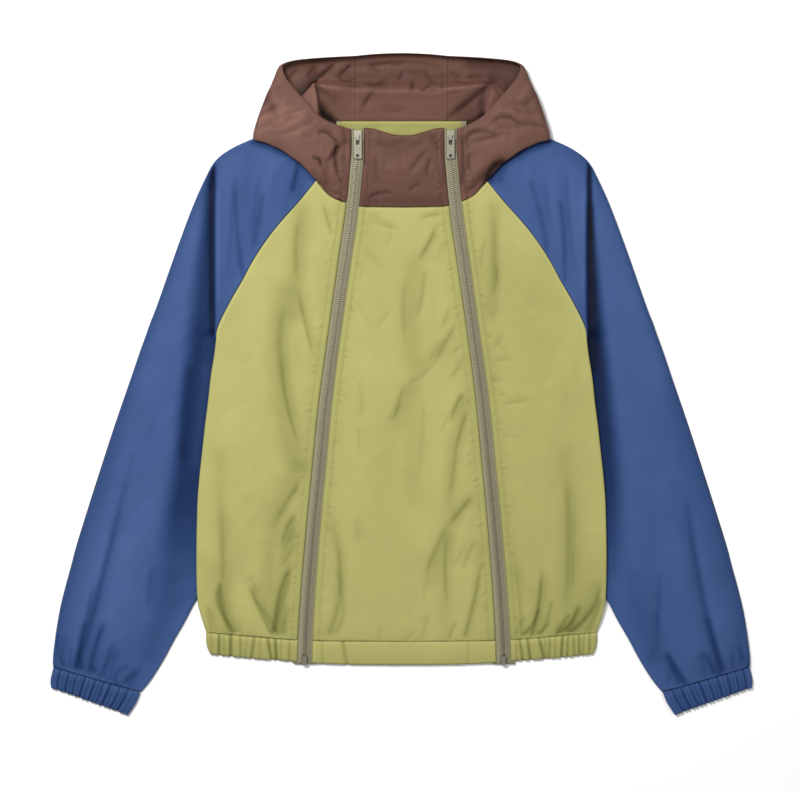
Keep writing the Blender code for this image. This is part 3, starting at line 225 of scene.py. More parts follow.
# ---------------------------------------------------------------- folds
# x0, y0, x1, y1, x2, y2: a curve through three points; half_width; height (a trough is below zero);
# skew: how much its +X side rises over the other; end: 1 where it runs full into its last point. A row
# leaves skew and end out where they are 0.
FRONT_FOLDS = (
    (-129, 226, -137, 178, -132, 118, 6, -1.8, 0.5), (-135, 130, -126, 85, -110, 24, 3.6, -2.6, 0.6),
    (-150, 110, -158, 55, -152, 0, 7.5, -1.9, 0.5), (-155, 44, -150, -18, -127, -97, 4.5, -3.0, 0.6),
    (-168, 120, -180, 30, -162, -90, 14, 1.6), (-138, 90, -140, 30, -124, -50, 9, 1.3),
    (-104, 242, -96, 215, -87, 186, 2.6, -2.2, 0.5), (-118, 196, -116, 150, -108, 110, 8, 0.8),
    (-114, 60, -107, 52, -101, 49, 3, -1.0), (-126, -120, -146, -148, -173, -198, 6, -2.4, 0.6),
    (-128, -152, -142, -164, -154, -186, 4, 1.4), (-132, -168, -148, -186, -157, -224, 5.5, -3.0, 0.6),
    (-134, -204, -146, -220, -160, -244, 3.5, -1.8, 0.6),
    (-137, -234, -155, -262, -165, -320, 5.2, -3.8, 0.6, 1), (-146, -268, -148, -296, -150, -318, 6, 1.5),
    (-172, -190, -182, -240, -186, -280, 9, 1.4), (-206, -262, -200, -256, -193, -252, 3.5, -1.2),
    (-200, -256, -188, -284, -170, -322, 4.2, -3.0, 0.6, 1), (-210, -240, -206, -284, -190, -316, 8, 1.5),
    (-236, -140, -232, -210, -234, -274, 6, -1.9, 0.5),
    (-233, -256, -237, -286, -217, -322, 4.8, -3.8, 0.5, 1), (-220, -262, -216, -290, -206, -314, 7, 1.2),
    (-247, -290, -245, -306, -239, -322, 3.5, -1.6, 0.4, 1),
    (-151, -306, -150, -314, -151, -324, 2.5, -1.8, 0.0, 1), (-216, 70, -226, -60, -220, -190, 20, 1.4),
    (-46, 218, -24, 208, -2, 204, 3.2, -1.6), (22, 213, 40, 221, 58, 219, 3.6, -1.6),
    (47, 208, 36, 184, 20, 156, 5, -3.0, 0.6), (56, 208, 50, 184, 34, 152, 6, 1.4),
    (30, 156, 28, 120, 19, 80, 4.5, -1.7, 0.4), (8, 146, 3, 100, 8, 40, 6, -1.5, 0.3),
    (36, 150, 36, 110, 28, 66, 8, 0.9), (-8, 150, -12, 100, -6, 40, 9, 0.8),
    (62, 104, 58, 86, 52, 72, 3.5, -1.3, 0.5), (74, 82, 56, 52, 38, 18, 5, -2.4, 0.6),
    (46, 30, 24, 10, 2, -4, 3.5, -1.2, 0.3), (7, 4, -3, -22, -10, -50, 4.5, -2.0, 0.6),
    (0, -16, -6, -36, -20, -48, 5, -1.2, 0.4), (60, 46, 44, 20, 22, -10, 8, 1.1),
    (84, 40, 74, 22, 58, 2, 4.5, -1.4, 0.5), (78, 54, 72, 46, 66, 40, 3, -1.1, 0.5),
    (26, -10, 28, -60, 19, -150, 5, -0.9, 0.4), (8, -50, 4, -90, 6, -150, 9, 0.7),
    (85, -8, 72, -26, 63, -54, 4.4, -2.8, 0.6), (92, -22, 78, -58, 69, -100, 4.2, -2.8, 0.6),
    (72, -78, 68, -114, 61, -158, 5.5, -1.9, 0.5), (88, -70, 84, -100, 82, -134, 6, 1.3),
    (54, -40, 52, -90, 48, -150, 10, 1.0), (97, -140, 76, -165, 58, -188, 4.6, -2.8, 0.6),
    (63, -176, 46, -212, 29, -254, 5, -2.2, 0.6), (100, -158, 82, -184, 72, -240, 8, 1.4),
    (40, -176, 30, -204, 16, -240, 9, 1.0), (61, -184, 57, -238, 62, -304, 4.6, -2.2, 0.5),
    (72, -230, 73, -264, 72, -300, 7, 1.0), (100, -200, 88, -218, 79, -248, 3.4, -1.5, 0.5),
    (107, -210, 99, -262, 83, -326, 3.6, -2.9, 0.6, 1), (112, -240, 108, -280, 102, -312, 4, 1.0),
    (73, -304, 66, -320, 61, -334, 3, -2.0, 0.3, 1), (35, -294, 31, -314, 26, -331, 3.2, -1.2, 0.3, 1),
    (16, -314, 12, -326, 6, -333, 3, -1.2, 0.3, 1), (-30, -312, -28, -320, -30, -332, 4, -1.0, 0.3, 1),
    (-57, -52, -55, -70, -56, -90, 3.2, -1.2, 0.4), (-60, -168, -57, -190, -56, -212, 3.2, -1.1, 0.4),
    (-92, -170, -79, -252, -93, -322, 4.6, -2.4, 0.4, 1), (-72, -190, -66, -250, -68, -310, 9, 1.1),
    (-103, -262, -104, -290, -103, -324, 2.4, -2.0, 0.0, 1), (-62, 14, -51, -18, -57, -54, 5, -1.0, 0.4),
    (-62, 114, -46, 88, -36, 68, 5, -0.8, 0.3), (-8, 104, -24, 84, -38, 68, 5, -0.8, 0.3),
    (-52, 184, -36, 166, -22, 150, 7, -0.9, 0.3), (-18, 212, -14, 192, -26, 176, 5, -0.8),
    (-40, 150, -44, 0, -30, -230, 26, 1.3), (118, 230, 122, 170, 117, 108, 7.5, -1.8, 0.3),
    (125, 164, 124, 138, 117, 108, 3, -1.6, 0.5), (111, 194, 106, 172, 103, 148, 3.4, -1.2, 0.4),
    (134, 220, 136, 160, 130, 100, 9, 1.2), (134, 68, 128, 58, 121, 46, 3, -1.1, 0.3),
    (118, 30, 130, 32, 142, 35, 3.5, -1.0), (120, 2, 128, 6, 136, 8, 2.6, -1.0),
    (118, -13, 128, -13, 140, -12, 2.8, -1.1), (128, -26, 150, -22, 176, -18, 4.6, -1.5),
    (122, -10, 150, -8, 176, -4, 6, 0.8), (120, -96, 132, -94, 146, -92, 3.5, -0.9),
    (213, -96, 218, -206, 211, -304, 7.5, -2.2, 0.3), (224, -140, 224, -220, 221, -292, 3.6, -1.4, 0.4),
    (198, -110, 202, -200, 194, -290, 13, 1.5), (182, -232, 180, -282, 170, -324, 4.4, -3.8, 0.6, 1),
    (190, -256, 190, -290, 184, -314, 6, 1.4), (141, -200, 151, -262, 157, -326, 3, -2.6, 0.4, 1),
    (162, -250, 163, -286, 161, -314, 5, 1.2), (259, -252, 251, -288, 222, -321, 4.8, -3.6, 0.6, 1),
    (230, -280, 223, -306, 205, -323, 3.4, -3.0, 0.6, 1), (214, -276, 210, -300, 198, -318, 5, 1.0),
    (194, -308, 188, -316, 178, -324, 2.6, -2.0, 0.4, 1),
    (168, -312, 165, -318, 158, -325, 2.4, -1.8, 0.3, 1),
    (262, -286, 256, -304, 248, -321, 3, -2.0, 0.5, 1), (166, 90, 178, -60, 172, -190, 22, 1.3),
    (196, 150, 214, 60, 224, -20, 16, 0.9), (40, -208, 33, -253, 25, -298, 3.5, -0.8, 0.4),
    (-124, -151, -142, -189, -154, -219, 3.0, -1.2, 0.5),
    (-131, -179, -149, -210, -161, -240, 3.0, -1.1, 0.5),
    (-200, -244, -191, -267, -196, -283, 3.2, -1.0, 0.5), (-54, 224, -26, 214, 2, 194, 3.0, -1.2, 0.4),
    (22, 214, 42, 222, 56, 221, 2.6, -1.0, 0.4), (122, 164, 126, 120, 114, 74, 5.0, -0.8, 0.5),
    (118, 26, 136, 33, 154, 25, 3.2, -0.8), (126, -70, 142, -66, 158, -74, 3.2, -0.7),
    (118, 60, 130, 48, 142, 30, 3.2, -0.7, 0.4), (60, 66, 44, 44, 34, 26, 3.2, -1.0, 0.5),
    (66, -30, 56, -52, 46, -70, 3.0, -0.9, 0.5), (-118, -104, -136, -134, -150, -152, 3.2, -0.9, 0.5),
    (88, -200, 76, -222, 66, -240, 3.0, -0.9, 0.5),
)
# Soft darker and lighter areas: a curve through three points; half_width; share of light lost
FRONT_SHADES = (
    (-130, 226, -136, 160, -138, 96, 12, 0.17), (-152, 120, -158, 0, -138, -100, 15, 0.20),
    (-134, -110, -166, -180, -170, -300, 15, 0.17), (-140, -190, -152, -250, -158, -318, 9, 0.14),
    (-236, -90, -234, -200, -226, -318, 10, 0.12), (16, 158, 12, 100, 14, 34, 14, 0.15),
    (48, 46, 22, 12, -6, -44, 12, 0.11), (14, -10, 14, -70, 14, -150, 12, 0.07),
    (82, -18, 68, -80, 62, -156, 9, 0.13), (86, -150, 60, -190, 36, -256, 10, 0.12),
    (64, -200, 56, -250, 58, -320, 9, 0.09), (100, -210, 96, -262, 84, -322, 6, 0.08),
    (118, 230, 120, 160, 116, 96, 9, 0.14), (214, -90, 218, -210, 212, -316, 12, 0.10),
    (252, -262, 238, -296, 214, -320, 9, 0.14), (150, -240, 176, -290, 168, -322, 10, 0.08),
    (-90, -180, -82, -250, -92, -320, 8, 0.10), (170, 120, 190, -100, 190, -320, 60, 0.09),
    (250, -240, 236, -296, 214, -322, 24, 0.10), (162, -323, 172, -309, 178, -294, 2.6, 0.32),
    (181, -323, 189, -307, 194, -284, 2.6, 0.26), (201, -323, 209, -311, 217, -300, 2.6, 0.28),
    (216, -320, 224, -306, 231, -290, 2.8, 0.24), (241, -320, 251, -302, 259, -280, 3.2, 0.26),
    (150, -322, 153, -312, 160, -304, 2.2, 0.20), (-221, -323, -231, -297, -236, -260, 3.4, 0.28),
    (-164, -320, -174, -302, -190, -280, 3.2, 0.18), (-168, -322, -160, -296, -147, -255, 3.4, 0.18),
    (-154, -321, -152, -306, -148, -292, 2.4, 0.18), (-246, -321, -250, -306, -251, -290, 2.6, 0.18),
    (-85, -320, -76, -292, -82, -245, 3.6, 0.18), (-250, -240, -236, -296, -214, -322, 22, 0.07),
    (-30, 190, -28, 150, -36, 110, 22, 0.05), (-250, -326, 0, -336, 250, -326, 13, 0.10),
    (-20, -60, -24, -180, -20, -300, 40, 0.05),
)
HEM_FOLDS_CENTRE = (  # x at the seam, x at the edge, half_width, height
    (-76, -71, 2.4, -1.9), (-103, -102, 2.0, -1.0), (88, 86, 2.0, -0.8),
)
HEM_FOLDS_RIGHT = (
    (-248, -246, 1.8, -1.2), (-237, -237, 1.9, -2.8), (-231, -230, 1.6, -1.3), (-222, -222, 2.2, -3.3),
    (-209, -209, 1.8, -1.7), (-201, -203, 1.6, -1.0), (-191, -195, 2.0, -2.4), (-183, -184, 1.6, -1.0),
    (-174, -169, 2.0, -2.9), (-164, -162.5, 2.1, -3.3), (-156, -157, 1.6, -1.2), (-145, -146, 1.7, -1.6),
)
HEM_FOLDS_LEFT = (
    (150, 150, 1.5, -1.0), (154, 158, 1.8, -2.4), (164, 168, 1.9, -2.8), (179, 186, 2.0, -2.9),
    (186, 190, 1.6, -1.4), (193, 193, 1.8, -1.8), (201, 200, 1.6, -1.2), (210, 208.5, 2.0, -3.0),
    (217, 216, 1.8, -2.2), (224, 225.5, 1.8, -2.0), (231, 232, 1.9, -2.4), (238, 237, 1.6, -1.4),
    (245, 245, 1.8, -2.0),
)
SLEEVE_FOLDS_RIGHT = (
    (-214, 292, -219, 220, -226, 128, 6, -1.5, 0.6), (-186, 268, -189, 236, -195, 186, 6, -1.3, 0.5),
    (-200, 300, -206, 230, -210, 150, 11, 1.2), (-352, -96, -389, -256, -423, -368, 7, -3.4, 0.8, 1),
    (-398, -250, -408, -300, -423, -366, 4.5, -2.6, 0.8, 1), (-336, -60, -358, -170, -384, -280, 16, 2.4),
    (-330, 60, -352, -60, -376, -160, 18, 1.4), (-296, 0, -312, -120, -338, -240, 14, 1.5),
    (-352, 10, -378, -92, -404, -190, 12, -1.5), (-322, -232, -326, -262, -328, -306, 7, -1.8, 0.6),
    (-390, -306, -396, -340, -407, -380, 4.5, -2.6, 0.7, 1),
    (-374, -330, -382, -356, -395, -384, 4.5, -2.4, 0.7, 1),
    (-366, -342, -374, -362, -380, -388, 4, -1.8, 0.5, 1),
    (-343, -368, -354, -382, -365, -392, 4, -2.4, 0.6, 1),
    (-436, -320, -440, -348, -441, -370, 4, -2.2, 0.5, 1),
    (-430, -340, -431, -356, -431, -372, 3, -1.6, 0.5, 1), (-448, -330, -449, -350, -449, -368, 4, 1.2),
    (-410, -300, -416, -340, -418, -364, 5, 1.3), (-352, -376, -358, -386, -350, -396, 3, -1.4, 0.5, 1),
)
SLEEVE_FOLDS_LEFT = (
    (212, 292, 218, 220, 226, 128, 6, -1.7, -0.6), (186, 268, 190, 236, 196, 186, 6, -1.5, -0.5),
    (200, 300, 206, 230, 210, 150, 11, 1.2), (366, -120, 390, -270, 418, -370, 7, -3.4, -0.8, 1),
    (334, -236, 334, -290, 329, -344, 5.5, -2.0, -0.5), (330, -60, 352, -180, 384, -290, 16, 2.2),
    (330, 60, 346, -40, 366, -140, 18, 1.3), (300, 20, 314, -100, 326, -200, 14, 1.3),
    (384, 10, 404, -100, 420, -200, 12, -1.2), (340, -340, 354, -364, 371, -391, 5, -3.0, -0.7, 1),
    (346, -362, 356, -378, 362, -394, 3.5, -2.0, -0.5, 1),
    (388, -346, 392, -362, 395, -384, 4, -2.0, -0.5, 1),
    (399, -346, 402, -362, 406, -380, 3.5, -2.0, -0.5, 1),
    (441, -306, 443, -336, 440, -369, 4, -2.4, -0.5, 1),
    (431, -330, 431, -350, 430, -371, 3, -1.6, -0.5, 1), (400, -310, 406, -340, 410, -364, 6, 1.3),
    (350, -376, 348, -384, 345, -394, 3, -1.4, 0.0, 1),
)
CUFF_FOLDS_RIGHT = (  # fraction of its width from the outer side, half_width, height
    (0.045, 1.6, -1.2), (0.09, 1.9, -2.8), (0.145, 1.5, -1.4), (0.19, 1.8, -2.9), (0.24, 1.5, -1.6),
    (0.28, 1.8, -2.5), (0.33, 1.6, -1.5), (0.37, 2.0, -3.3), (0.43, 1.6, -1.8), (0.49, 1.9, -3.0),
    (0.54, 1.6, -1.8), (0.585, 1.8, -2.5), (0.66, 2.0, -3.3), (0.71, 1.5, -1.6), (0.77, 1.8, -2.6),
    (0.82, 1.6, -1.6), (0.86, 2.0, -3.2), (0.93, 1.6, -1.2),
)
CUFF_FOLDS_LEFT = (
    (0.04, 1.5, -1.4), (0.08, 1.9, -3.2), (0.125, 1.5, -1.6), (0.17, 1.8, -2.4), (0.22, 1.5, -1.4),
    (0.27, 1.9, -3.0), (0.32, 1.5, -1.4), (0.38, 1.9, -2.8), (0.43, 1.5, -1.6), (0.48, 1.8, -2.4),
    (0.53, 1.5, -1.4), (0.58, 2.0, -3.2), (0.64, 1.6, -2.0), (0.69, 1.8, -2.6), (0.74, 1.5, -1.4),
    (0.79, 2.0, -3.2), (0.84, 1.5, -1.8), (0.885, 1.8, -2.8), (0.94, 1.5, -1.2),
)
# The valley beside the shoulder crease and the body's side: y, inner line x, width, depth
VALLEY_RIGHT = (
    (300, 243, 4, 0.0), (286, 243, 8, 2.4), (258, 243, 14, 3.2), (181, 243.5, 24, 3.8),
    (100, 243.5, 32, 3.6), (60, 243, 36, 3.0), (20, 246, 36, 1.5), (-40, 253, 36, 0.6),
    (-430, 253, 36, 0.0),
)
VALLEY_LEFT = (
    (300, 242, 4, 0.0), (286, 242, 6, 2.6), (258, 242.5, 9, 3.4), (181, 242, 15, 4.0), (100, 242, 22, 3.8),
    (60, 242, 25, 3.0), (20, 246, 26, 1.5), (-40, 253, 26, 0.6), (-430, 253, 24, 0.0),
)
# Shaded band of the sleeve beside the body: y, its outer line, softness, share of light left
BAND_RIGHT = (
    (304, 246, 5, 0.7), (290, 249, 7, 0.38), (255, 257, 10, 0.30), (190, 264, 13, 0.34),
    (136, 271, 14, 0.36), (60, 279, 15, 0.34), (6, 285, 15, 0.32), (-72, 293, 15, 0.30),
    (-150, 305, 16, 0.36), (-218, 316, 20, 0.62), (-262, 322, 24, 0.85), (-310, 324, 26, 1.0),
)
BAND_LEFT = (
    (304, 243, 4, 0.6), (290, 244, 4, 0.22), (255, 247, 6, 0.08), (190, 253, 8, 0.08), (136, 258, 9, 0.10),
    (60, 266, 11, 0.14), (32, 270, 12, 0.16), (-40, 278, 14, 0.22), (-98, 284, 15, 0.28),
    (-150, 287, 16, 0.36), (-202, 287, 18, 0.50), (-254, 282, 18, 0.75), (-310, 276, 18, 1.0),
)
COLLAR_FOLDS = (
    (44, 300, 34, 284, 38, 258, 3.2, -1.3, 0.4), (38, 308, 22, 292, 6, 268, 3.6, -1.5, 0.5),
    (44, 300, 28, 284, 14, 266, 4.5, 1.1), (26, 264, 16, 257, 8, 250, 2.8, -1.4, 0.4),
    (-34, 300, -32, 276, -38, 254, 3, -1.3, -0.4), (-36, 318, -14, 312, 16, 320, 5, -1.1),
    (-34, 306, -16, 303, 4, 300, 4, 0.9), (-46, 242, -30, 249, -8, 251, 2.6, -1.9),
    (10, 310, 22, 312, 34, 316, 4, -0.9), (-14, 290, -10, 274, -12, 256, 12, 0.9),
    (44, 326, 42, 316, 46, 306, 4, -1.0), (-24, 322, -8, 321, 10, 320, 3, 0.7),
    (-24, 296, -22, 282, -26, 264, 4, -0.6),
)
COLLAR_SHADES = (
    (-49, 324, -49, 308, -48, 288, 2.6, 0.50), (-32, 314, -10, 308, 10, 314, 7, 0.16),
    (24, 326, 40, 322, 46, 308, 5, 0.22), (-46, 240, -6, 238, 50, 240, 8, 0.20),
    (-44, 243, -30, 248, -12, 250, 2.0, 0.25), (52, 326, 53, 300, 55, 262, 2.6, 0.25),
    (10, 284, -6, 276, -14, 262, 12, -0.05),
)
HOOD_INSIDE = (
    (-150, 412, -158, 404, -164, 394, 3.5, -1.4, 0.6), (-134, 412, -142, 404, -150, 396, 3.5, -1.5, 0.6),
    (-112, 415, -117, 408, -126, 400, 3.2, -1.7, 0.6), (-88, 419, -97, 409, -108, 401, 3.4, -1.8, 0.6),
    (-66, 419, -73, 410, -84, 401, 3.4, -1.8, 0.6), (-98, 416, -106, 408, -116, 400, 3, 1.2),
    (-78, 416, -86, 408, -94, 401, 3, 1.2), (-42, 420, -34, 412, -22, 408, 3.2, -1.3),
    (-72, 386, -62, 388, -52, 384, 2.6, -1.2, 0.4), (-46, 390, -30, 391, -18, 397, 4, -1.7, 0.4),
    (-6, 396, 0, 402, 2, 412, 3.5, -1.2, 0.4), (17, 396, 14, 389, 12, 382, 3.6, -1.4, 0.5),
    (40, 392, 33, 387, 26, 382, 3.2, -1.3, 0.5), (4, 412, 20, 407, 44, 412, 3.2, -1.2),
    (60, 412, 70, 404, 84, 402, 3.5, -1.0), (86, 400, 98, 402, 112, 400, 4, -1.4),
    (-110, 388, -100, 380, -90, 376, 4, -1.3, 0.4), (-36, 381, -44, 371, -53, 356, 3.6, -1.4, 0.5),
    (-20, 372, -8, 366, 4, 364, 6, 0.6), (117, 389, 94, 372, 64, 346, 3.6, -1.8, 0.6),
    (104, 380, 84, 370, 62, 356, 4, 0.9), (60, 378, 70, 379, 84, 384, 3, -0.9),
    (-48, 414, -18, 418, 11, 414, 2.6, -1.6, 0.4), (33, 410, 37, 399, 54, 386, 2.8, -1.3, 0.4),
    (14, 384, 37, 381, 57, 385, 2.4, -1.3, 0.3), (-90, 404, -70, 396, -58, 399, 3.0, -1.2, 0.4),
    (66, 398, 84, 392, 100, 396, 3.0, -1.2, 0.4), (-30, 360, -10, 356, 8, 360, 3.6, -0.9, 0.3),
)
INSIDE_SHADES = (
    (-160, 406, -147, 390, -135, 376, 7, 0.55), (-112, 392.5, -123, 382, -135, 370, 15, 0.84, -1),
    (-112, 392.5, -123, 382, -135, 370, 14, -0.22, 1), (-158, 408, -134, 414, -100, 420, 6, 0.24),
    (-118, 422, 0, 431, 118, 422, 2.6, 0.45), (-60, 416, 0, 421, 50, 414, 2.6, 0.24),
    (-110, 402, 0, 404, 110, 402, 12, 0.16), (-113, 389.5, -109, 370, -105, 350, 4.5, 0.72, 1),
    (-113, 389.5, -109, 370, -105, 350, 9, -0.42, -1), (-112, 388, -100, 378, -86, 372, 5, 0.25),
    (-103, 362, -99, 353, -94, 347, 6, 0.62), (-103, 354, -95, 347, -86, 343, 5, 0.85),
    (-92, 352, -91, 349, -90, 346, 3.5, 0.45), (-84, 343.5, 0, 343.5, 84, 343.5, 1.9, 0.45),
    (-88, 419, -97, 409, -106, 402, 2.6, 0.30), (-66, 419, -73, 410, -82, 402, 2.6, 0.30),
    (-46, 391, -30, 391, -18, 397, 3.6, 0.26), (-36, 380, -44, 371, -52, 357, 3, 0.20),
    (-115, 391, -100, 387, -84, 385, 1.8, -0.30), (-60, 381, 0, 379.5, 60, 383.5, 1.6, -0.20),
    (60, 383.5, 90, 387, 117, 391, 1.8, -0.35), (162, 404, 148, 388, 138, 370, 9, 0.62),
    (160, 408, 130, 414, 90, 419, 9, 0.45), (142, 396, 134, 398, 122, 402, 9, 0.30),
    (117, 390, 92, 374, 66, 350, 7, 0.50, -1), (104, 352, 97, 347, 86, 342, 4.5, 0.75),
    (112, 389, 104, 372, 106, 352, 4.5, 0.45), (104, 366, 88, 356, 76, 350, 8, 0.30),
    (116, 388, 113, 368, 109, 352, 6, -0.40, 1), (118, 393, 129, 383, 141, 373, 12, 0.38, 1),
    (118, 393, 129, 383, 141, 373, 10, -0.18, -1), (135, 369, 127, 364, 120, 358, 2.5, 0.35),
    (53, 406, 53, 395, 52, 384, 1.8, 0.25), (15, 395, 14, 388, 12, 382, 3.2, 0.26),
    (38, 391, 32, 386, 26, 382, 2.6, 0.22), (86, 400, 98, 402, 114, 400, 4.5, 0.22),
    (-70, 399, 0, 401, 70, 399, 10, 0.20), (-60, 362, 0, 360, 60, 362, 11, -0.14),
)
HOOD_OUTSIDE = (
    (-110, 329, -96, 327, -87, 317, 3.2, -1.9, 0.4), (-87, 320, -85, 306, -99, 288, 3.2, -2.2, 0.5),
    (-73, 317, -86, 298, -78, 262, 3.2, -2.2, 0.5), (-79, 320, -80, 300, -92, 284, 4, 1.5),
    (-76, 300, -73, 280, -74, 254, 3, -1.2, 0.3), (-92, 282, -90, 268, -84, 254, 4, 1.0),
    (-97, 282, -99, 268, -92, 254, 3.4, -1.2, 0.4), (-111, 294, -105, 291, -106, 285, 3, -1.5),
    (-180, 330, -152, 327, -128, 340, 4, -1.4), (-132, 326, -122, 322, -112, 324, 4, -1.0),
    (-178, 374, -168, 362, -162, 350, 6, -1.2, 0.4), (-186, 344, -170, 346, -152, 352, 5, 1.1),
    (-160, 344, -146, 354, -134, 360, 5, 1.0), (-172, 316, -150, 312, -126, 300, 8, 0.8),
    (-152, 340, -140, 344, -126, 346, 3.5, -1.0), (-164, 388, -158, 376, -150, 366, 5, -0.9, 0.4),
    (84, 306, 90, 327, 122, 327, 3, -1.9), (94, 317, 112, 320, 136, 327, 3.2, -1.4),
    (100, 312, 118, 312, 140, 316, 6, 1.0), (118, 341, 134, 347, 152, 339, 3, -1.9),
    (150, 340, 170, 337, 190, 333, 3, -1.2), (120, 350, 136, 354, 154, 348, 4, 1.3),
    (150, 350, 166, 346, 184, 342, 4, 0.9), (88, 302, 87, 288, 91, 274, 3.4, -1.5, -0.3),
    (105, 276, 98, 262, 86, 254, 3.6, -1.7, -0.4), (98, 284, 92, 270, 84, 262, 4, 1.0),
    (176, 378, 166, 368, 158, 356, 5, -1.2, 0.4), (168, 392, 162, 380, 152, 370, 4, 0.9),
    (142, 318, 160, 324, 178, 326, 7, 0.8), (-188, 342, -174, 354, -155, 363, 3.0, -1.4, 0.5),
    (-152, 347, -137, 355, -121, 355, 2.8, -1.3, 0.5), (-194, 325, -173, 334, -148, 331, 3.0, -1.3, -0.4),
    (-142, 328, -125, 337, -108, 342, 3.0, -1.3, -0.5), (-164, 386, -174, 370, -181, 357, 4.0, -1.2, 0.5),
    (-132, 312, -116, 305, -106, 295, 3.2, -1.2, 0.5), (-150, 372, -144, 360, -132, 366, 3.0, -1.0, 0.5),
    (-176, 352, -164, 350, -156, 340, 3.0, -1.0, 0.5), (115, 330, 141, 334, 171, 333, 2.8, -1.2, -0.4),
    (141, 367, 154, 364, 170, 373, 3.2, -1.2, 0.4), (130, 362, 147, 358, 163, 347, 3.0, -1.1, 0.4),
    (118, 305, 132, 303, 144, 308, 3.4, -1.0, 0.4), (158, 358, 170, 352, 184, 354, 3.0, -1.0, -0.4),
)
OUTSIDE_SHADES = (
    (-108, 328, -95, 327, -88, 318, 2.4, 0.30), (-87, 320, -85, 306, -98, 290, 2.6, 0.38),
    (-74, 316, -86, 298, -79, 264, 2.8, 0.40), (-76, 332, -74, 324, -72, 316, 5, 0.26),
    (-76, 296, -73, 280, -74, 256, 3, 0.22), (-97, 284, -98, 268, -90, 254, 5, 0.20),
    (-84, 250, -78, 246, -72, 243, 4, 0.30), (-113, 295, -107, 292, -105, 286, 2.8, 0.62),
    (-115, 276, -108, 268, -98, 254, 4, 0.30), (-180, 330, -152, 327, -128, 340, 3.2, 0.14),
    (-180, 376, -168, 362, -160, 350, 7, 0.14), (-184, 334, -164, 342, -144, 340, 17, -0.62),
    (-172, 392, -158, 366, -130, 352, 8, -0.12), (-192, 324, -182, 356, -164, 400, 3.5, 0.24),
    (-140, 306, -125, 303, -112, 300, 9, -0.10), (-150, 352, -138, 356, -128, 362, 6, -0.07),
    (-100, 318, -104, 310, -100, 300, 6, -0.08), (86, 308, 90, 326, 118, 327, 2.6, 0.34),
    (94, 317, 112, 320, 134, 327, 2.8, 0.22), (118, 341, 134, 347, 152, 339, 2.6, 0.34),
    (150, 340, 170, 337, 188, 333, 2.6, 0.20), (77, 322, 79, 300, 78, 262, 3, 0.45),
    (88, 300, 87, 288, 90, 276, 3.2, 0.22), (105, 276, 98, 262, 86, 254, 5, 0.34),
    (130, 289, 119, 283, 110, 268, 6.5, 0.84), (122, 286, 116, 280, 112, 270, 3.5, 0.60),
    (176, 384, 172, 370, 160, 354, 10, 0.17), (165, 400, 182, 352, 193, 322, 3.5, 0.30),
    (110, 312, 124, 310, 142, 314, 8, -0.09), (140, 356, 132, 352, 122, 350, 5, -0.07),
)
# The sleeves lie in the hood's shade along its lower edge
SLEEVE_SHADES_RIGHT = (
    (-192, 317, -156, 303, -118, 284, 5, 0.62), (-132, 298, -136, 282, -141, 254, 3.8, 0.52),
    (-141, 290, -146, 262, -152, 230, 9, 0.14), (-129, 292, -122, 280, -114, 268, 4.2, 0.52),
    (-128, 284, -130, 266, -134, 246, 9, 0.22), (-198, 300, -204, 262, -206, 220, 9, 0.10),
    (-168, 296, -176, 262, -180, 226, 6, -0.08), (-216, 250, -213, 196, -207, 146, 3.6, 0.28),
    (-181, 244, -187, 210, -192, 184, 4.0, 0.28), (-238, 250, -238, 180, -237, 110, 3.2, -0.16),
    (-214, 296, -222, 300, -230, 296, 8, -0.05), (-348, -92, -390, -256, -423, -368, 4, 0.12),
    (-300, -250, -312, -300, -330, -352, 12, 0.12), (-417, -366, -419, -343, -412, -310, 3.6, 0.30),
    (-399, -370, -403, -354, -387, -312, 3.8, 0.30), (-371, -388, -371, -376, -358, -366, 3.2, 0.28),
    (-438, -366, -445, -350, -447, -328, 3.0, 0.22), (-355, -394, -349, -381, -341, -371, 3.0, 0.22),
    (-350, -160, -372, -230, -384, -300, 34, -0.12), (-385, -378, -384, -366, -376, -352, 3.0, 0.20),
    (-245, 282, -247, 200, -245.5, 70, 5, 0.82), (-276, 20, -282, -30, -286, -90, 6, 0.36),
    (-256, 20, -262, -40, -268, -100, 8, -0.45), (-366, -210, -390, -275, -406, -335, 24, -0.17),
)
SLEEVE_SHADES_LEFT = (
    (192, 317, 156, 303, 118, 288, 5.5, 0.66), (122, 290, 118, 276, 116, 266, 6, 0.60),
    (140, 298, 132, 284, 128, 268, 6, 0.35), (168, 262, 182, 214, 189, 176, 4, 0.26),
    (206, 236, 211, 190, 212, 136, 3.6, 0.28), (236, 250, 236, 180, 234, 110, 3, -0.12),
    (162, 280, 168, 258, 176, 236, 5, -0.08), (370, -150, 391, -282, 418, -369, 4, 0.10),
    (300, -250, 312, -300, 330, -352, 12, 0.12), (420, -60, 424, -140, 430, -240, 14, 0.07),
    (397, -306, 409, -350, 415, -374, 4.6, 0.36), (330, -298, 334, -330, 322, -356, 6, 0.18),
    (346, -354, 360, -377, 368, -390, 3.8, 0.30), (392, -350, 405, -368, 410, -380, 3.2, 0.26),
    (439, -342, 444, -355, 451, -367, 3.0, 0.26), (428, -352, 431, -362, 433, -371, 2.6, 0.18),
    (150, 300, 134, 292, 121, 282, 9, 0.42), (262, 220, 300, 120, 330, 20, 30, -0.12),
    (200, 280, 210, 250, 220, 200, 26, -0.08), (236, 120, 240, 40, 250, -40, 8, 0.22),
    (244, 302, 245, 262, 246, 190, 3.4, 0.92), (236, 120, 238, 90, 238, 66, 4, -0.20),
    (245, 230, 246, 120, 250, 20, 6, 0.60), (366, -210, 384, -275, 396, -335, 24, -0.12),
)
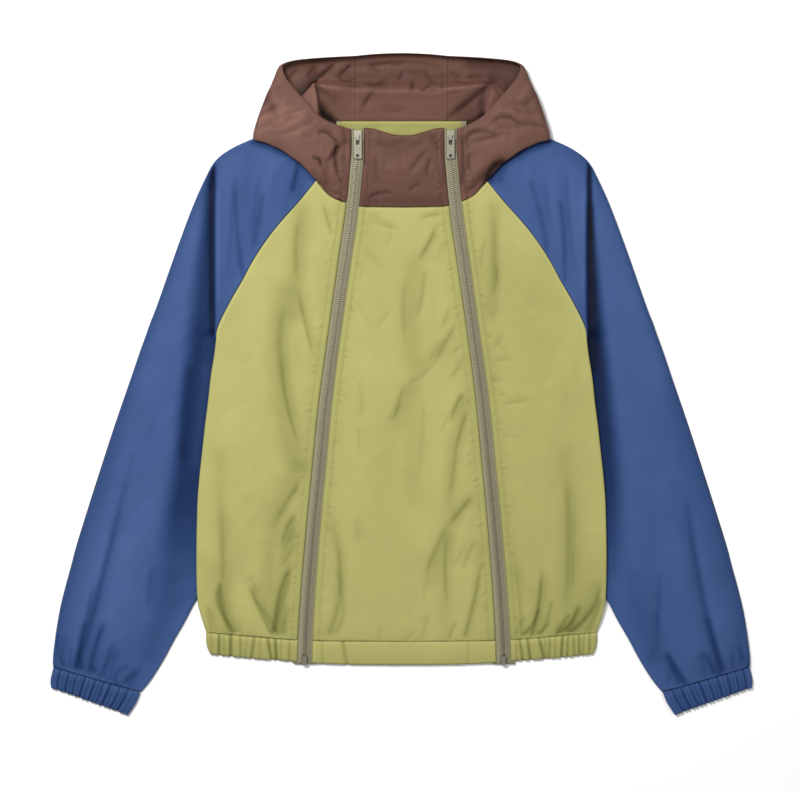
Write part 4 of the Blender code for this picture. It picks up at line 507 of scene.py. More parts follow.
BACK_FOLDS = (
    (-60, 250, -90, 100, -70, -80, 16, 1.2, 0.4), (50, 230, 84, 60, 60, -120, 16, 1.2, 0.4),
    (-150, 120, -170, -40, -150, -200, 15, 1.1, 0.4), (150, 60, 160, -100, 140, -240, 15, 1.1, 0.4),
    (0, 120, -12, -60, 6, -240, 20, 1.0), (-110, -200, -104, -260, -108, -316, 8, 0.9, 0.5),
    (96, -190, 102, -250, 98, -316, 8, 0.9, 0.5),
)


# ---------------------------------------------------------------- curves and heights
def ease(t):
    t = np.clip(t, 0.0, 1.0)
    return t * t * (3 - 2 * t)


def bell(away, reach, at=0.0):
    """1 at that distance, and softly down to 0 on both sides of it."""
    return np.exp(-(((away - at) / reach) ** 2))


def curve_through(keys, values, at):
    """Smooth curve through (keys, values) that never overshoots a value; keys rise; at may be an array."""
    keys = np.asarray(keys, float)
    values = np.asarray(values, float)
    step = np.diff(keys)
    rise = np.diff(values) / step
    slope = np.concatenate([rise[:1], np.zeros(len(keys) - 2), rise[-1:]])
    turning = rise[:-1] * rise[1:] > 0
    pairs = np.where(turning, rise[:-1] + rise[1:], 1.0)
    slope[1:-1] = np.where(turning, 2 * rise[:-1] * rise[1:] / pairs, 0.0)
    i = np.clip(np.searchsorted(keys, at) - 1, 0, len(step) - 1)
    t = np.clip((at - keys[i]) / step[i], 0.0, 1.0)
    a = values[i] * (2 * t**3 - 3 * t**2 + 1) + values[i + 1] * (3 * t**2 - 2 * t**3)
    b = slope[i] * (t**3 - 2 * t**2 + t) + slope[i + 1] * (t**3 - t**2)
    return a + b * step[i]


def lookup(table, at, column=1):
    """A column of a table, read between its rows by its first column."""
    rows = sorted(table)
    return curve_through([row[0] for row in rows], [row[column] for row in rows], at)


def zip_x(y, side, way=0):
    return lookup(ZIP_LINE, y) + side * ZIP_SHIFT + way * lookup(ZIP_LINE, y, 2)


def tucked(x, y, z, ramp):
    """Height of a panel that lies at z and rises over what is tucked in at the body's side."""
    edge = lookup(TUCKED_EDGE, y) - TUCK_INSET
    return z + TUCK_LIFT * ease((abs(x) - edge + ramp) / ramp)


def back_z(x, y):
    return tucked(x, y, FLOOR_Z, BACK_RAMP)


def front_z(x, y):
    return tucked(x, y, FRONT_Z, FRONT_RAMP)


def collar_z(y):
    return FRONT_Z + COLLAR_RISE * ease((y - NECK_SEAM_Y) / (COLLAR_FLAT_Y - NECK_SEAM_Y))


def zip_z(y):
    level = collar_z(y) if y > NECK_SEAM_Y else front_z(0, 0)
    return level - TAPE_DROP


def turned_edge(x_start, x_edge, y, z, share, upper):
    """A point of the rounded side edge: share 0 where it starts and 1 at the seam."""
    amount = ease((ARMPIT_Y - y) / ROLL_REACH)
    turn = math.radians(ROLL_TURN) * share
    middle = (back_z(x_edge, y) + front_z(x_edge, y)) / 2
    inset = SEAM * (1 - amount) + WALL / 2 * amount
    flat_x = x_start + (x_edge - inset - x_start) * share
    round_x = x_start + (x_edge - inset - x_start) * math.sin(turn) / math.sin(math.radians(ROLL_TURN))
    round_z = middle + (z - middle) * math.cos(turn)
    if not upper:
        round_z = middle - (middle - z) * math.cos(turn)
    return flat_x + (round_x - flat_x) * amount, y, z + (round_z - z) * amount


# ---------------------------------------------------------------- grids to shells
def coarse(rows, columns, point):
    return np.array([[point(r, c) for c in range(columns + 1)] for r in range(rows + 1)], float)


def refine(values, step):
    """More rows along the first axis, about step apart (one step, or one for each old gap), on smooth
    curves through the given ones. Returns the new rows and each one's place among the old."""
    steps = np.broadcast_to(step, (len(values) - 1,))
    before = np.concatenate([2 * values[:1] - values[1:2], values[:-1]])
    after = np.concatenate([values[1:], 2 * values[-1:] - values[-2:-1]])
    slope = (after - before) / 2
    made, place = [values[:1]], [0.0]
    for i in range(len(values) - 1):
        length = np.linalg.norm(values[i + 1] - values[i], axis=-1).mean()
        parts = max(1, round(length / steps[i]))
        t = (np.arange(1, parts + 1) / parts)[:, None, None]
        made.append(
            values[i] * (2 * t**3 - 3 * t**2 + 1) + slope[i] * (t**3 - 2 * t**2 + t)
            + values[i + 1] * (3 * t**2 - 2 * t**3) + slope[i + 1] * (t**3 - t**2)
        )
        place.extend(i + t[:, 0, 0])
    return np.concatenate(made), np.array(place)


def arc(values):
    """Distance along the first axis from its first row, for each point."""
    steps = np.linalg.norm(np.diff(values, axis=0), axis=-1)
    return np.concatenate([np.zeros_like(steps[:1]), np.cumsum(steps, axis=0)])


class Sheet:
    """A fine grid of a cloth piece with the distances from its four edges. row and column are each point's
    place in the grid it was made from."""

    def __init__(self, grid, step, column_step=None):
        fine, row = refine(grid, step)
        turned, column = refine(fine.transpose(1, 0, 2), step if column_step is None else column_step)
        self.points = np.ascontiguousarray(turned.transpose(1, 0, 2))
        # painted light and shade of each point: below 1 where shade is painted, above 1 where light is
        self.shade = np.ones(self.points.shape[:2])
        self.row = np.broadcast_to(row[:, None], self.shade.shape)
        self.column = np.broadcast_to(column, self.shade.shape)
        self.low_row = arc(self.points)
        self.high_row = self.low_row[-1] - self.low_row
        self.low_column = arc(self.points.transpose(1, 0, 2)).T
        self.high_column = self.low_column[:, -1:] - self.low_column
        self.x, self.y, _ = self.points.copy().transpose(2, 0, 1)

    @property
    def inward(self):
        """Distance from the nearer end of its row."""
        return np.minimum(self.low_column, self.high_column)

    @property
    def down(self):
        """0 along the last row, 1 along the first, which is the lower one."""
        return self.high_row / (self.high_row + self.low_row)

    def lift(self, amount):
        self.points[..., 2] += amount

    def darken(self, amount):
        self.shade *= 1 - amount


def set_tone(mesh, values):
    """The painted light and shade of each point, for the looks."""
    tone = mesh.attributes.new("tone", "FLOAT", "POINT")
    tone.data.foreach_set("value", np.asarray(values, np.float32).ravel())


def mesh_of(work, mesh):
    """Fills a mesh from a bmesh and frees that."""
    work.to_mesh(mesh)
    work.free()
    return mesh


def add_piece(mesh, look):
    """A named piece of that mesh, which rides on the jacket."""
    item = bpy.data.objects.new(mesh.name, mesh)
    bpy.context.scene.collection.objects.link(item)
    mesh.materials.append(look)
    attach(item, BODY)
    return item


def shell(sheet, name, slot, loop=False, thick=SHELL):
    """A sheet as a named piece with a wall. In a loop its last column is its first."""
    rows, columns = sheet.shade.shape
    index = np.arange(rows * columns).reshape(rows, columns)
    left, right = index[:, :-1], index[:, 1:].copy()
    if loop:
        right[:, -1] = index[:, 0]
    quads = np.stack([left[:-1], right[:-1], right[1:], left[1:]], axis=-1).reshape(-1, 4)
    mesh = bpy.data.meshes.new(name)
    mesh.from_pydata((sheet.points.reshape(-1, 3) * MM).tolist(), [], quads.tolist())
    uv = np.stack([sheet.low_column * MM, sheet.low_row * MM], axis=-1).reshape(-1, 2)
    corners = np.empty(len(mesh.loops), np.int32)
    mesh.loops.foreach_get("vertex_index", corners)
    layer = mesh.uv_layers.new(name="cloth")
    layer.data.foreach_set("uv", uv[corners].astype(np.float32).ravel())
    set_tone(mesh, np.clip(sheet.shade, 0, 1.4))
    mesh.shade_smooth()
    if loop:
        work = bmesh.new()
        work.from_mesh(mesh)
        bmesh.ops.delete(work, geom=[v for v in work.verts if not v.link_faces], context="VERTS")
        mesh_of(work, mesh)
    item = add_piece(mesh, LOOKS[slot])
    solid = item.modifiers.new("wall", "SOLIDIFY")
    solid.thickness = thick * MM
    solid.offset = 0
    return item


def make(sheet, cad_node, slot, loop=False, thick=SHELL):
    """A sheet that stands for this CAD node, whose own part is hidden."""
    item = shell(sheet, f"shell_{cad_node}", slot, loop, thick)
    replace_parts(item, cad_node)


# ---------------------------------------------------------------- relief and shade
def fold_paths(rows):
    """Each fold as points of a curve through its three points, with its profile."""
    t = np.linspace(0, 1, PATH_POINTS)[:, None]
    paths = []
    for row in rows:
        first, last = np.array(row[0:2]), np.array(row[4:6])
        pull = 2 * np.array(row[2:4]) - (first + last) / 2
        points = (1 - t) ** 2 * first + 2 * t * (1 - t) * pull + t**2 * last
        paths.append((points, *row[6:]))
    return paths


def distance(points, x, y, reach):
    """Where the points (x, y) lie near a path: which ones, how far, how far to its +X side, how far along,
    and 1 on its left, -1 on its right."""
    low, high = points.min(0) - reach, points.max(0) + reach
    near = (x > low[0]) & (x < high[0]) & (y > low[1]) & (y < high[1])
    px, py = x[near][:, None], y[near][:, None]
    start, run = points[:-1], np.diff(points, axis=0)
    along = ((px - start[:, 0]) * run[:, 0] + (py - start[:, 1]) * run[:, 1]) / (run**2).sum(axis=1)
    along = np.clip(along, 0, 1)
    dx = px - start[:, 0] - along * run[:, 0]
    dy = py - start[:, 1] - along * run[:, 1]
    away = np.hypot(dx, dy)
    nearest = away.argmin(axis=1) if len(away) else np.zeros(0, int)
    pick = np.arange(len(nearest)), nearest
    left = np.where(run[nearest, 0] * dy[pick] > run[nearest, 1] * dx[pick], 1, -1)
    return near, away[pick], dx[pick], (nearest + along[pick]) / len(start), left


def relief(rows, x, y):
    """Sum of the folds' heights at the points (x, y), the darkness of their creases, and of the shade that
    falls from a crisp crease over its +X side."""
    total, line, fall = np.zeros_like(x), np.zeros_like(x), np.zeros_like(x)
    for points, half_width, height, *others in fold_paths(rows):
        skew, full_end = (*others, 0, 0)[:2]
        near, away, dx, t, _ = distance(points, x, y, FOLD_REACH * half_width)
        fade = ease(t * 3) * (1.0 if full_end else ease((1 - t) * 3))
        d = np.where(dx < 0, -1, 1) * away / half_width
        broad = np.where(d * skew > 0, 1 + 1.5 * abs(skew), 1 - 0.4 * abs(skew))
        total[near] += height * fade * np.exp(-np.abs(d / broad) ** 1.7)
        if height < 0:
            line[near] += -height * fade * bell(d + 0.25 * skew, 0.5)
            fall[near] += -height * abs(skew) * fade * bell(d, 2.6) * ease((d * skew + 0.2) / 0.3)
    return total, line, fall


def creased(sheet, rows, mask, depth=0.72, dark=0.085):
    """Folds pressed into a sheet, each trough with a darker line of painted shade at its bottom, painted
    shade in troughs and beside crisp creases, and painted light on ridges.
    """
    amount, line, fall = relief(rows, sheet.x, sheet.y)
    sheet.lift(amount * mask * depth)
    sheet.darken(np.clip(line * mask, 0, 4) * dark)
    sheet.darken(np.clip(fall * mask, 0, 4) * FALL_DARK)
    sheet.darken(np.clip(-amount * mask, 0, 4) * TROUGH_DARK - np.clip(amount * mask, 0, 3) * RIDGE_LIT)


def shades(sheet, rows, mask=1.0):
    """Soft shade on a sheet, along curves; a negative share makes the cloth lighter. A row's last number
    keeps it to the curve's left (1) or right (-1), with a crisp edge along the curve."""
    for points, half_width, share, *one_side in fold_paths(rows):
        near, away, _, _, left = distance(points, sheet.x, sheet.y, SHADE_REACH * half_width)
        amount = np.zeros_like(sheet.shade)
        amount[near] = share * bell(away, half_width)
        if one_side:
            amount[near] *= ease(0.5 + left * one_side[0] * away / CRISP)
        sheet.darken(amount * mask)


def ripple(x, y, seed, wave, amount, count=10):
    """Soft uneven waves of about that length, the same every run."""
    random = np.random.RandomState(seed)
    total = np.zeros_like(x)
    for turn, size, start in zip(random.uniform(0, math.pi, count), random.uniform(0.7, 1.6, count),
                                 random.uniform(0, TURN, count)):
        k = TURN / (wave * size)
        total += np.sin(k * (x * math.cos(turn) + y * math.sin(turn)) + start)
    return amount * total / math.sqrt(count)


def crumple(x, y, seed, wave, amount):
    """Flat facets that meet in crisp creases, taller than wide, the same every run."""
    x, y = 1.25 * x, 0.8 * y
    x = x + ripple(x, y, seed + 60, 1.9 * wave, 0.22 * wave)
    y = y + ripple(x, y, seed + 61, 1.7 * wave, 0.22 * wave)
    return amount * (0.6 - np.abs(ripple(x, y, seed, wave, 1.0)))


def uneven(sheet, mask, waves, facets, small=None):
    """Soft waves and crisp facets all over a sheet, each as its seed, length and height."""
    sheet.lift((ripple(sheet.x, sheet.y, *waves) + crumple(sheet.x, sheet.y, *facets)) * mask)
    if small:
        sheet.lift(crumple(sheet.x, sheet.y, *small) * mask)


def placket(sheet, away, seed, shade=0.0):
    """The folded edge beside a zip: a soft ridge, the stitched groove and the puckers beyond it, with painted
    shade in the puckers, the groove and at the edge; shade is a broad painted shade beside the zip.
    """
    beyond = away - STITCH_AT
    s = sheet.low_row + 0.5 * away
    bend = 2.4 * np.sin(TURN * s / 47 + seed)
    ripples = np.sin(TURN * s / 13 + bend + 1.5 * np.sin(s / 9 + seed))
    rough = np.clip(0.35 + 0.65 * np.sin(TURN * s / 119 + 2 * seed) * np.sin(TURN * s / 37), 0, 1)
    pucker = 0.9 * ripples * rough * bell(beyond, 3.4, 2.2)
    s = sheet.low_row + 0.9 * away + 5 * np.sin(sheet.low_row / 23 + seed)
    drawn = 0.8 * np.sin(sheet.low_row / 31 + 2 * seed) * np.sin(sheet.low_row / 13.7 + seed)
    drawn = np.clip(0.2 + drawn, 0, 1) * bell(beyond, 6.5, 8)
    pucker += 0.55 * (0.6 - 1.2 * np.abs(np.sin(math.pi * s / 15))) * drawn
    sheet.lift(0.45 * bell(away, 2.6, 4.2) - 0.6 * bell(beyond, 1.2) + pucker - 0.9 * bell(away, 0.9))
    sheet.darken(np.clip(-pucker, 0, 1) * 0.16)
    sheet.darken(0.10 * bell(beyond, 0.9))
    sheet.darken(0.10 * bell(away, 1.0))
    sheet.darken(shade * bell(away, 15))


def seam_edge(sheet, away, drop=0.8, soft=1.1, dark=0.22, lit=0.12):
    """Cloth that turns down into a seam, with a lit rim beside it."""
    sheet.lift(-drop * bell(away, soft))
    sheet.darken(dark * bell(away, soft * 0.9))
    sheet.darken(-lit * bell(away, soft, 2.3 * soft))


def gathered(sheet, puff, dents, evenly, deepest, draw, dark):
    """An elastic band: the puff of its cloth with dents pulled into it, each as its height everywhere. They
    are fuller towards the lower edge, and draw that edge up."""
    total, pull = puff, np.zeros_like(puff)
    for dent in dents:
        total = total + dent * (evenly + (1 - evenly) * ease(sheet.down * 2))
        pull += dent
    sheet.lift(np.maximum(total, deepest))
    sheet.points[..., 1] -= pull * draw * sheet.down
    sheet.darken(np.clip(-pull, 0, 4) * dark)


def gathers(sheet, away, seed, wave, amount, reach):
    """Short puckers that run out of a gathered seam."""
    s = sheet.low_column
    phase = TURN * s / wave + 1.3 * np.sin(TURN * s / (wave * 6.3) + seed) + seed
    strength = 0.6 + 0.4 * np.sin(TURN * s / (wave * 3.7) + 3 * seed)
    bumps = amount * np.sin(phase) * strength * np.exp(-away / reach)
    sheet.lift(bumps)
    sheet.darken(np.clip(-bumps, 0, 2) * 0.05)


# ---------------------------------------------------------------- tubes and topstitching
def tube(work, rings):
    """Joins rings of points, each of them (x, y, z) in millimetres, to a closed tube."""
    rings = [[work.verts.new((x * MM, y * MM, z * MM)) for x, y, z in ring] for ring in rings]
    for one, two in zip(rings, rings[1:]):
        for k in range(len(one)):
            after = (k + 1) % len(one)
            work.faces.new((one[k], one[after], two[after], two[k]))
    work.faces.new(rings[0])
    work.faces.new(rings[-1][::-1])


def line_on(sheet, away, at, along_rows):
    """Points of the sheet at that distance from one of its edges: one for each row, or for each column."""
    points, away = (sheet.points, away) if along_rows else (sheet.points.transpose(1, 0, 2), away.T)
    found = []
    for line, distances in zip(points, away):
        order = np.argsort(distances)
        found.append([np.interp(at, distances[order], line[order, axis]) for axis in range(3)])
    return np.array(found)


def stitches(name, path, slot):
    """A run of thread stitches along a list of points, each one slightly arched."""
    run = np.concatenate([[0], np.cumsum(np.linalg.norm(np.diff(path, axis=0), axis=1))])
    share, rise, size = np.array(STITCH_RINGS).T
    up = np.array((0, 0, 1))
    turns = [TURN * k / THREAD_SIDES for k in range(THREAD_SIDES)]
    work = bmesh.new()
    at = STITCH_GAP
    while at + STITCH_LONG < run[-1]:
        centre = np.stack([np.interp(at + STITCH_LONG * share, run, path[:, k]) for k in range(3)], axis=1)
        way = centre[-1] - centre[0]
        way /= np.linalg.norm(way)
        across = np.cross(way, (0, 0, 1.0))
        rings = []
        for spot, high, wide in zip(centre, rise, size):
            ring = [
                across * math.cos(turn) * THREAD * wide + up * math.sin(turn) * THREAD * wide
                for turn in turns
            ]
            rings.append([spot + offset + (0, 0, STITCH_LIFT + high) for offset in ring])
        tube(work, rings)
        at += STITCH_LONG + STITCH_GAP
    bmesh.ops.recalc_face_normals(work, faces=work.faces)
    mesh = mesh_of(work, bpy.data.meshes.new(name))
    set_tone(mesh, np.ones(len(mesh.vertices)))
    mesh.shade_smooth()
    return add_piece(mesh, THREAD_LOOKS[slot])


def sew(sheet, slot, *lines):
    """Stitched lines on a sheet: each one's name, the distances from an edge, how far from that edge it runs,
    and whether it has one point for each row."""
    return [stitches(f"stitch_{name}", line_on(sheet, *where), slot) for name, *where in lines]


# ---------------------------------------------------------------- materials
def connect(made, **sockets):
    """Sets a node's inputs, each to a value or from another node's output. In a name _ is a space, and in0
    and in1 are the first two inputs."""
    for key, value in sockets.items():
        socket = made.inputs[int(key[2:]) if key.startswith("in") else key.replace("_", " ")]
        if isinstance(value, bpy.types.NodeSocket):
            made.id_data.links.new(value, socket)
        else:
            socket.default_value = value


def node(tree, kind, own=(), **sockets):
    """The outputs of a new shader node. own holds its settings."""
    made = tree.nodes.new("ShaderNode" + kind)
    for key, value in dict(own).items():
        setattr(made, key, value)
    connect(made, **sockets)
    return made.outputs


def nodes_of(name):
    look = bpy.data.materials.new(name)
    look.use_nodes = True
    return look, look.node_tree, look.node_tree.nodes["Principled BSDF"]


def tone_of(tree):
    return node(tree, "Attribute", {"attribute_name": "tone"})["Fac"]


def cloth_look(name, colour, rough, sheen, thread=0.5, weave=0.25, crinkle=0.5, deepen=(1.0, 1.0, 1.0)):
    """Woven cloth: colour that varies softly, painted shade (creases darker) and painted light from the
    tone attribute, weave and crinkle as bump. deepen is how fast each channel falls as tone does."""
    look, tree, shader = nodes_of(name)
    place = node(tree, "TexCoord")["Object"]
    uv = node(tree, "UVMap", {"uv_map": "cloth"})["UV"]
    tone = tone_of(tree)
    deep = {
        axis: node(tree, "Math", {"operation": "POWER"}, in0=tone, in1=power)["Value"]
        for axis, power in zip("XYZ", deepen)
    }
    channels = node(tree, "CombineXYZ", **deep)["Vector"]
    paint = node(tree, "VectorMath", {"operation": "MULTIPLY"}, in0=channels, in1=colour)["Vector"]
    mottle = node(tree, "TexNoise", Vector=place, Scale=22, Detail=3)["Fac"]
    spread = node(tree, "MapRange", Value=mottle, From_Min=0.3, From_Max=0.7, To_Min=0.965,
                  To_Max=1.035)["Result"]
    varied = node(tree, "VectorMath", {"operation": "SCALE"}, in0=paint, Scale=spread)["Vector"]

    threads = [
        node(tree, "TexWave", {"wave_type": "BANDS", "bands_direction": axis}, Vector=uv,
             Scale=TURN / (20 * thread * MM), Distortion=0.6, Detail=1)["Fac"]
        for axis in "XY"
    ]
    woven = node(tree, "Math", {"operation": "MULTIPLY"}, in0=threads[0], in1=threads[1])["Value"]
    crease = node(tree, "TexNoise", {"noise_type": "RIDGED_MULTIFRACTAL"}, Vector=place, Scale=34, Detail=3,
                  Distortion=0.4)["Fac"]
    soft = node(tree, "Bump", Strength=crinkle, Distance=0.0006, Height=crease)["Normal"]
    fine = node(tree, "Bump", Strength=weave, Distance=0.00012, Height=woven, Normal=soft)["Normal"]
    connect(shader, Base_Color=varied, Normal=fine, Roughness=rough, Specular_IOR_Level=0.1,
            Sheen_Weight=sheen, Sheen_Roughness=0.45)
    return look


def metal_look(name, colour, rough, scale, toned=False):
    """Cast metal with a fine grain in its colour and roughness; toned darkens it by painted shade."""
    look, tree, shader = nodes_of(name)
    grain = node(tree, "TexNoise", Vector=node(tree, "TexCoord")["Object"], Scale=scale, Detail=3)["Fac"]
    dull, bright = (*[c * 0.8 for c in colour], 1), (*[min(1, c * 1.12) for c in colour], 1)
    paint = node(tree, "Mix", {"data_type": "RGBA"}, Factor=grain, A=dull, B=bright)["Result"]
    if toned:
        paint = node(tree, "VectorMath", {"operation": "SCALE"}, in0=paint, Scale=tone_of(tree))["Vector"]
    worn = node(tree, "MapRange", Value=grain, To_Min=rough - 0.08, To_Max=rough + 0.12)["Result"]
    connect(shader, Base_Color=paint, Roughness=worn, Metallic=0.85)
    return look


GREEN = (0.367, 0.350, 0.122)
BLUE = (0.039, 0.076, 0.198)
BROWN = (0.124, 0.060, 0.045)
BEIGE = (0.218, 0.199, 0.127)
SEWING = dict(rough=0.6, sheen=0.05, thread=0.3, weave=0.3, crinkle=0.0)
LOOKS = {
    "green": cloth_look("green_nylon", GREEN, 0.55, 0.03, deepen=(1.05, 1.0, 1.3)),
    "blue": cloth_look("blue_nylon", BLUE, 0.58, 0.0, deepen=(1.6, 1.12, 0.85)),
    "brown": cloth_look("brown_nylon", BROWN, 0.55, 0.0, deepen=(0.95, 1.05, 1.1)),
    "tape": cloth_look("zip_tape", BEIGE, 0.75, 0.02, thread=0.9, weave=0.8, crinkle=0.1),
}
THREAD_LOOKS = {
    "green": cloth_look("green_thread", (0.44, 0.42, 0.16), **SEWING),
    "brown": cloth_look("brown_thread", (0.125, 0.062, 0.046), **SEWING),
}
TEETH_LOOK = metal_look("antique_teeth", (0.33, 0.30, 0.215), 0.55, 900, toned=True)
METAL_LOOK = metal_look("satin_metal", (0.25, 0.24, 0.185), 0.45, 500)


# ---------------------------------------------------------------- front and back panels
def front_side(side):
    top, bottom = FRONT_EDGE[0][0], FRONT_EDGE[-1][0]
    rows = len(FRONT_EDGE) - 1

    def point(row, column):
        y_out, half_width = FRONT_EDGE[rows - row]
        share = (top - y_out) / (top - bottom)
        y_in = NECK_SEAM_Y + share * (HEM_ZIP_Y - NECK_SEAM_Y)
        if row == 0:
            y_in, y_out = y_in + SEAM, y_out + SEAM
        x_in = zip_x(y_in, side, 1)
        x_roll = half_width - ROLL
        u = min(max(column - 1, 0) / (FRONT_COLUMNS - 1), 1)
        x = x_in + PLACKET + (x_roll - x_in - PLACKET) * u if column else x_in
        across = (x - x_in) / (half_width - x_in)
        y = y_in + (y_out - y_in) * across
        if share < NECK_SHARE:
            neck = lookup(NECK_EDGE, x) - SEAM
            y += (neck - (NECK_SEAM_Y + (top - NECK_SEAM_Y) * across)) * (1 - ease(share / NECK_SHARE))
        z = front_z(x, y)
        if column > FRONT_COLUMNS:
            x, _, z = turned_edge(x_roll, half_width, y_out, z, (column - FRONT_COLUMNS) / ROLL_COLUMNS, True)
            y = y_in + (y_out - y_in) * (x - x_in) / (half_width - x_in)
            if row == rows:
                y = y_out
        return side * x, y, z

    sheet = Sheet(coarse(rows, FRONT_COLUMNS + ROLL_COLUMNS, point), step=1.9)
    away = sheet.low_column
    fade = ease((away - STITCH_AT - 1) / 9) * ease(sheet.high_column / 14)
    fade *= ease(sheet.low_row / 3) * ease(sheet.high_row / 22)
    creased(sheet, FRONT_FOLDS, fade)
    shades(sheet, FRONT_SHADES)
    uneven(sheet, fade, waves=(3, 58, 0.18), facets=(4, 52, 0.34), small=(31, 21, 0.10))
    placket(sheet, away, seed=1.0 if side > 0 else 2.3, shade=0.14)
    gathers(sheet, sheet.low_row, seed=side + 2, wave=8.5, amount=0.55, reach=7.0)
    seam_edge(sheet, sheet.low_row, drop=0.5, soft=1.0, dark=0.05, lit=0.03)
    seam_edge(sheet, sheet.high_row, drop=0.7, soft=1.0)
    seam_edge(sheet, np.where(sheet.y > ARMPIT_Y - 10, sheet.high_column, FAR), drop=0.6, soft=0.8, dark=0.1,
              lit=0.2)
    label = LABEL[side]
    sewn = sew(
        sheet, "green",
        (f"zip_front_{label}", away, STITCH_AT, True),
        (f"hem_{label}", sheet.low_row, HEM_STITCH, False),
    )
    make(sheet, f"front_{label}", "green")


def front_centre():
    rows, columns = 20, 14

    def point(row, column):
        v = 1 - row / rows
        u = column / columns * 2 - 1
        y_side = NECK_SEAM_Y - 2 + v * (HEM_ZIP_Y - 1 - NECK_SEAM_Y + 2)
        half = zip_x(y_side, 0, -1)
        away = u * half
        if abs(column - columns / 2) <= columns / 2 - 1:
            away = u * columns / (columns - 2) * (half - PLACKET)
        x = away + ZIP_SHIFT
        y_top = lookup(NECK_EDGE, abs(x)) - SEAM
        y_low = lookup(HEM_SEAM, abs(x)) + SEAM
        y = y_top + v * (y_low - y_top)
        return x, y, front_z(x, y)

    sheet = Sheet(coarse(rows, columns, point), step=2.0)
    fade = ease((sheet.inward - STITCH_AT - 1) / 9)
    fade *= ease(sheet.low_row / 3) * ease(sheet.high_row / 14)
    creased(sheet, FRONT_FOLDS, fade)
    shades(sheet, FRONT_SHADES)
    uneven(sheet, fade, waves=(5, 62, 0.18), facets=(6, 52, 0.34), small=(32, 21, 0.10))
    placket(sheet, sheet.low_column, seed=0.4, shade=0.10)
    placket(sheet, sheet.high_column, seed=3.1, shade=0.14)
    gathers(sheet, sheet.low_row, seed=5, wave=17, amount=0.3, reach=6.0)
    gathers(sheet, sheet.high_row, seed=7, wave=23, amount=0.25, reach=7.0)
    seam_edge(sheet, sheet.low_row, drop=0.5, soft=1.0, dark=0.05, lit=0.03)
    seam_edge(sheet, sheet.high_row, drop=0.7, soft=1.0)
    sewn = sew(
        sheet, "green",
        ("centre_right", sheet.low_column, STITCH_AT, True),
        ("centre_left", sheet.high_column, STITCH_AT, True),
        ("hem_centre", sheet.low_row, HEM_STITCH, False),
    )
    make(sheet, "front_centre", "green")


def back_panel():
    rows = len(BACK_EDGE) - 1
    half_columns = 6 + ROLL_COLUMNS
    top, neck = BACK_EDGE[0]

    def across(y, x_roll, step):
        edge = lookup(TUCKED_EDGE, y) - TUCK_INSET
        start = min(edge - BACK_RAMP, 0.8 * x_roll)
        middle = min(edge - BACK_RAMP / 2, 0.86 * x_roll)
        end = min(edge, 0.92 * x_roll)
        return (0, start / 2, start, middle, end, (end + x_roll) / 2, x_roll)[step]

    def point(row, column):
        y, half_width = BACK_EDGE[rows - row]
        if row == 0:
            y += SEAM
        x_roll = half_width - ROLL
        side = -1 if column < half_columns else 1
        step = abs(column - half_columns)
        if step <= half_columns - ROLL_COLUMNS:
            x = across(y, x_roll, step)
            drop = 0.0
            if abs(x) < neck:
                drop = BACK_DIP * (1 - (x / neck) ** 2) * ease((y - top + BACK_DIP_LONG) / BACK_DIP_LONG)
            return side * x, y - drop, back_z(x, y)
        share = (step - half_columns + ROLL_COLUMNS) / ROLL_COLUMNS
        x, y, z = turned_edge(x_roll, half_width, y, back_z(x_roll, y), share, False)
        return side * x, y, z

    sheet = Sheet(coarse(rows, 2 * half_columns, point), step=7.0)
    inside = ease((sheet.inward - 60) / 40)
    inside *= ease(sheet.low_row / 12) * ease(sheet.high_row / 20)
    sheet.lift(np.clip(relief(BACK_FOLDS, sheet.x, sheet.y)[0], 0, 2) * inside)
    make(sheet, "back", "green")


# ---------------------------------------------------------------- hem
def hem_edges(sheet, *ends):
    """The band turns in at its seam, at its lower fold and at these ends."""
    seam_edge(sheet, sheet.high_row, drop=0.4, soft=0.9, dark=0.05)
    seam_edge(sheet, sheet.low_row, drop=0.8, soft=1.1, dark=0.1)
    for away in ends:
        seam_edge(sheet, away, drop=0.7, soft=0.9)


def hem_side(side, folds):
    rows, columns = 3, 25
    y_seam, y_end = HEM_SIDE[0][0], HEM_SIDE[-1][0]
    y_zip_end = HEM_EDGE[3][1]

    def point(row, column):
        v = 1 - row / rows
        u = min(column / columns, 1)
        x_in = zip_x(HEM_ZIP_Y - SEAM + v * (y_zip_end - HEM_ZIP_Y), side, 1)
        y_out = y_seam - SEAM + v * (y_end - y_seam)
        half_width = lookup(HEM_SIDE, y_out)
        x_roll = half_width - ROLL
        x = x_in + (x_roll - x_in) * u
        y_low = lookup(HEM_EDGE, x)
        y_top = lookup(HEM_SEAM, x) - SEAM
        y = y_top + v * (y_low - y_top)
        z = front_z(x, y_seam)
        if column > columns:
            x, _, z = turned_edge(x_roll, half_width, y_out, z, (column - columns) / ROLL_COLUMNS, True)
            y = y_out
        return side * x, y, z

    sheet = Sheet(coarse(rows, columns + ROLL_COLUMNS, point), step=0.9)
    v = sheet.down
    body = ease(sheet.low_column / 6) * ease(sheet.high_column / 9)
    dents = [
        height * bell(sheet.x, width, x_top + (x_low - x_top) * v) * body
        for x_top, x_low, width, height in folds
    ]
    gathered(sheet, HEM_PUFF * ease(v * 4) * ease((1 - v) * 5 + 0.25) * body, dents, evenly=0.55,
             deepest=-3.1, draw=0.28, dark=0.13)
    sheet.darken(0.08 + 0.14 * v)
    sheet.lift(ripple(sheet.x, sheet.y, 8, 9, 0.09) * body)
    hem_edges(sheet, sheet.low_column)
    make(sheet, f"hem_{LABEL[side]}", "green")


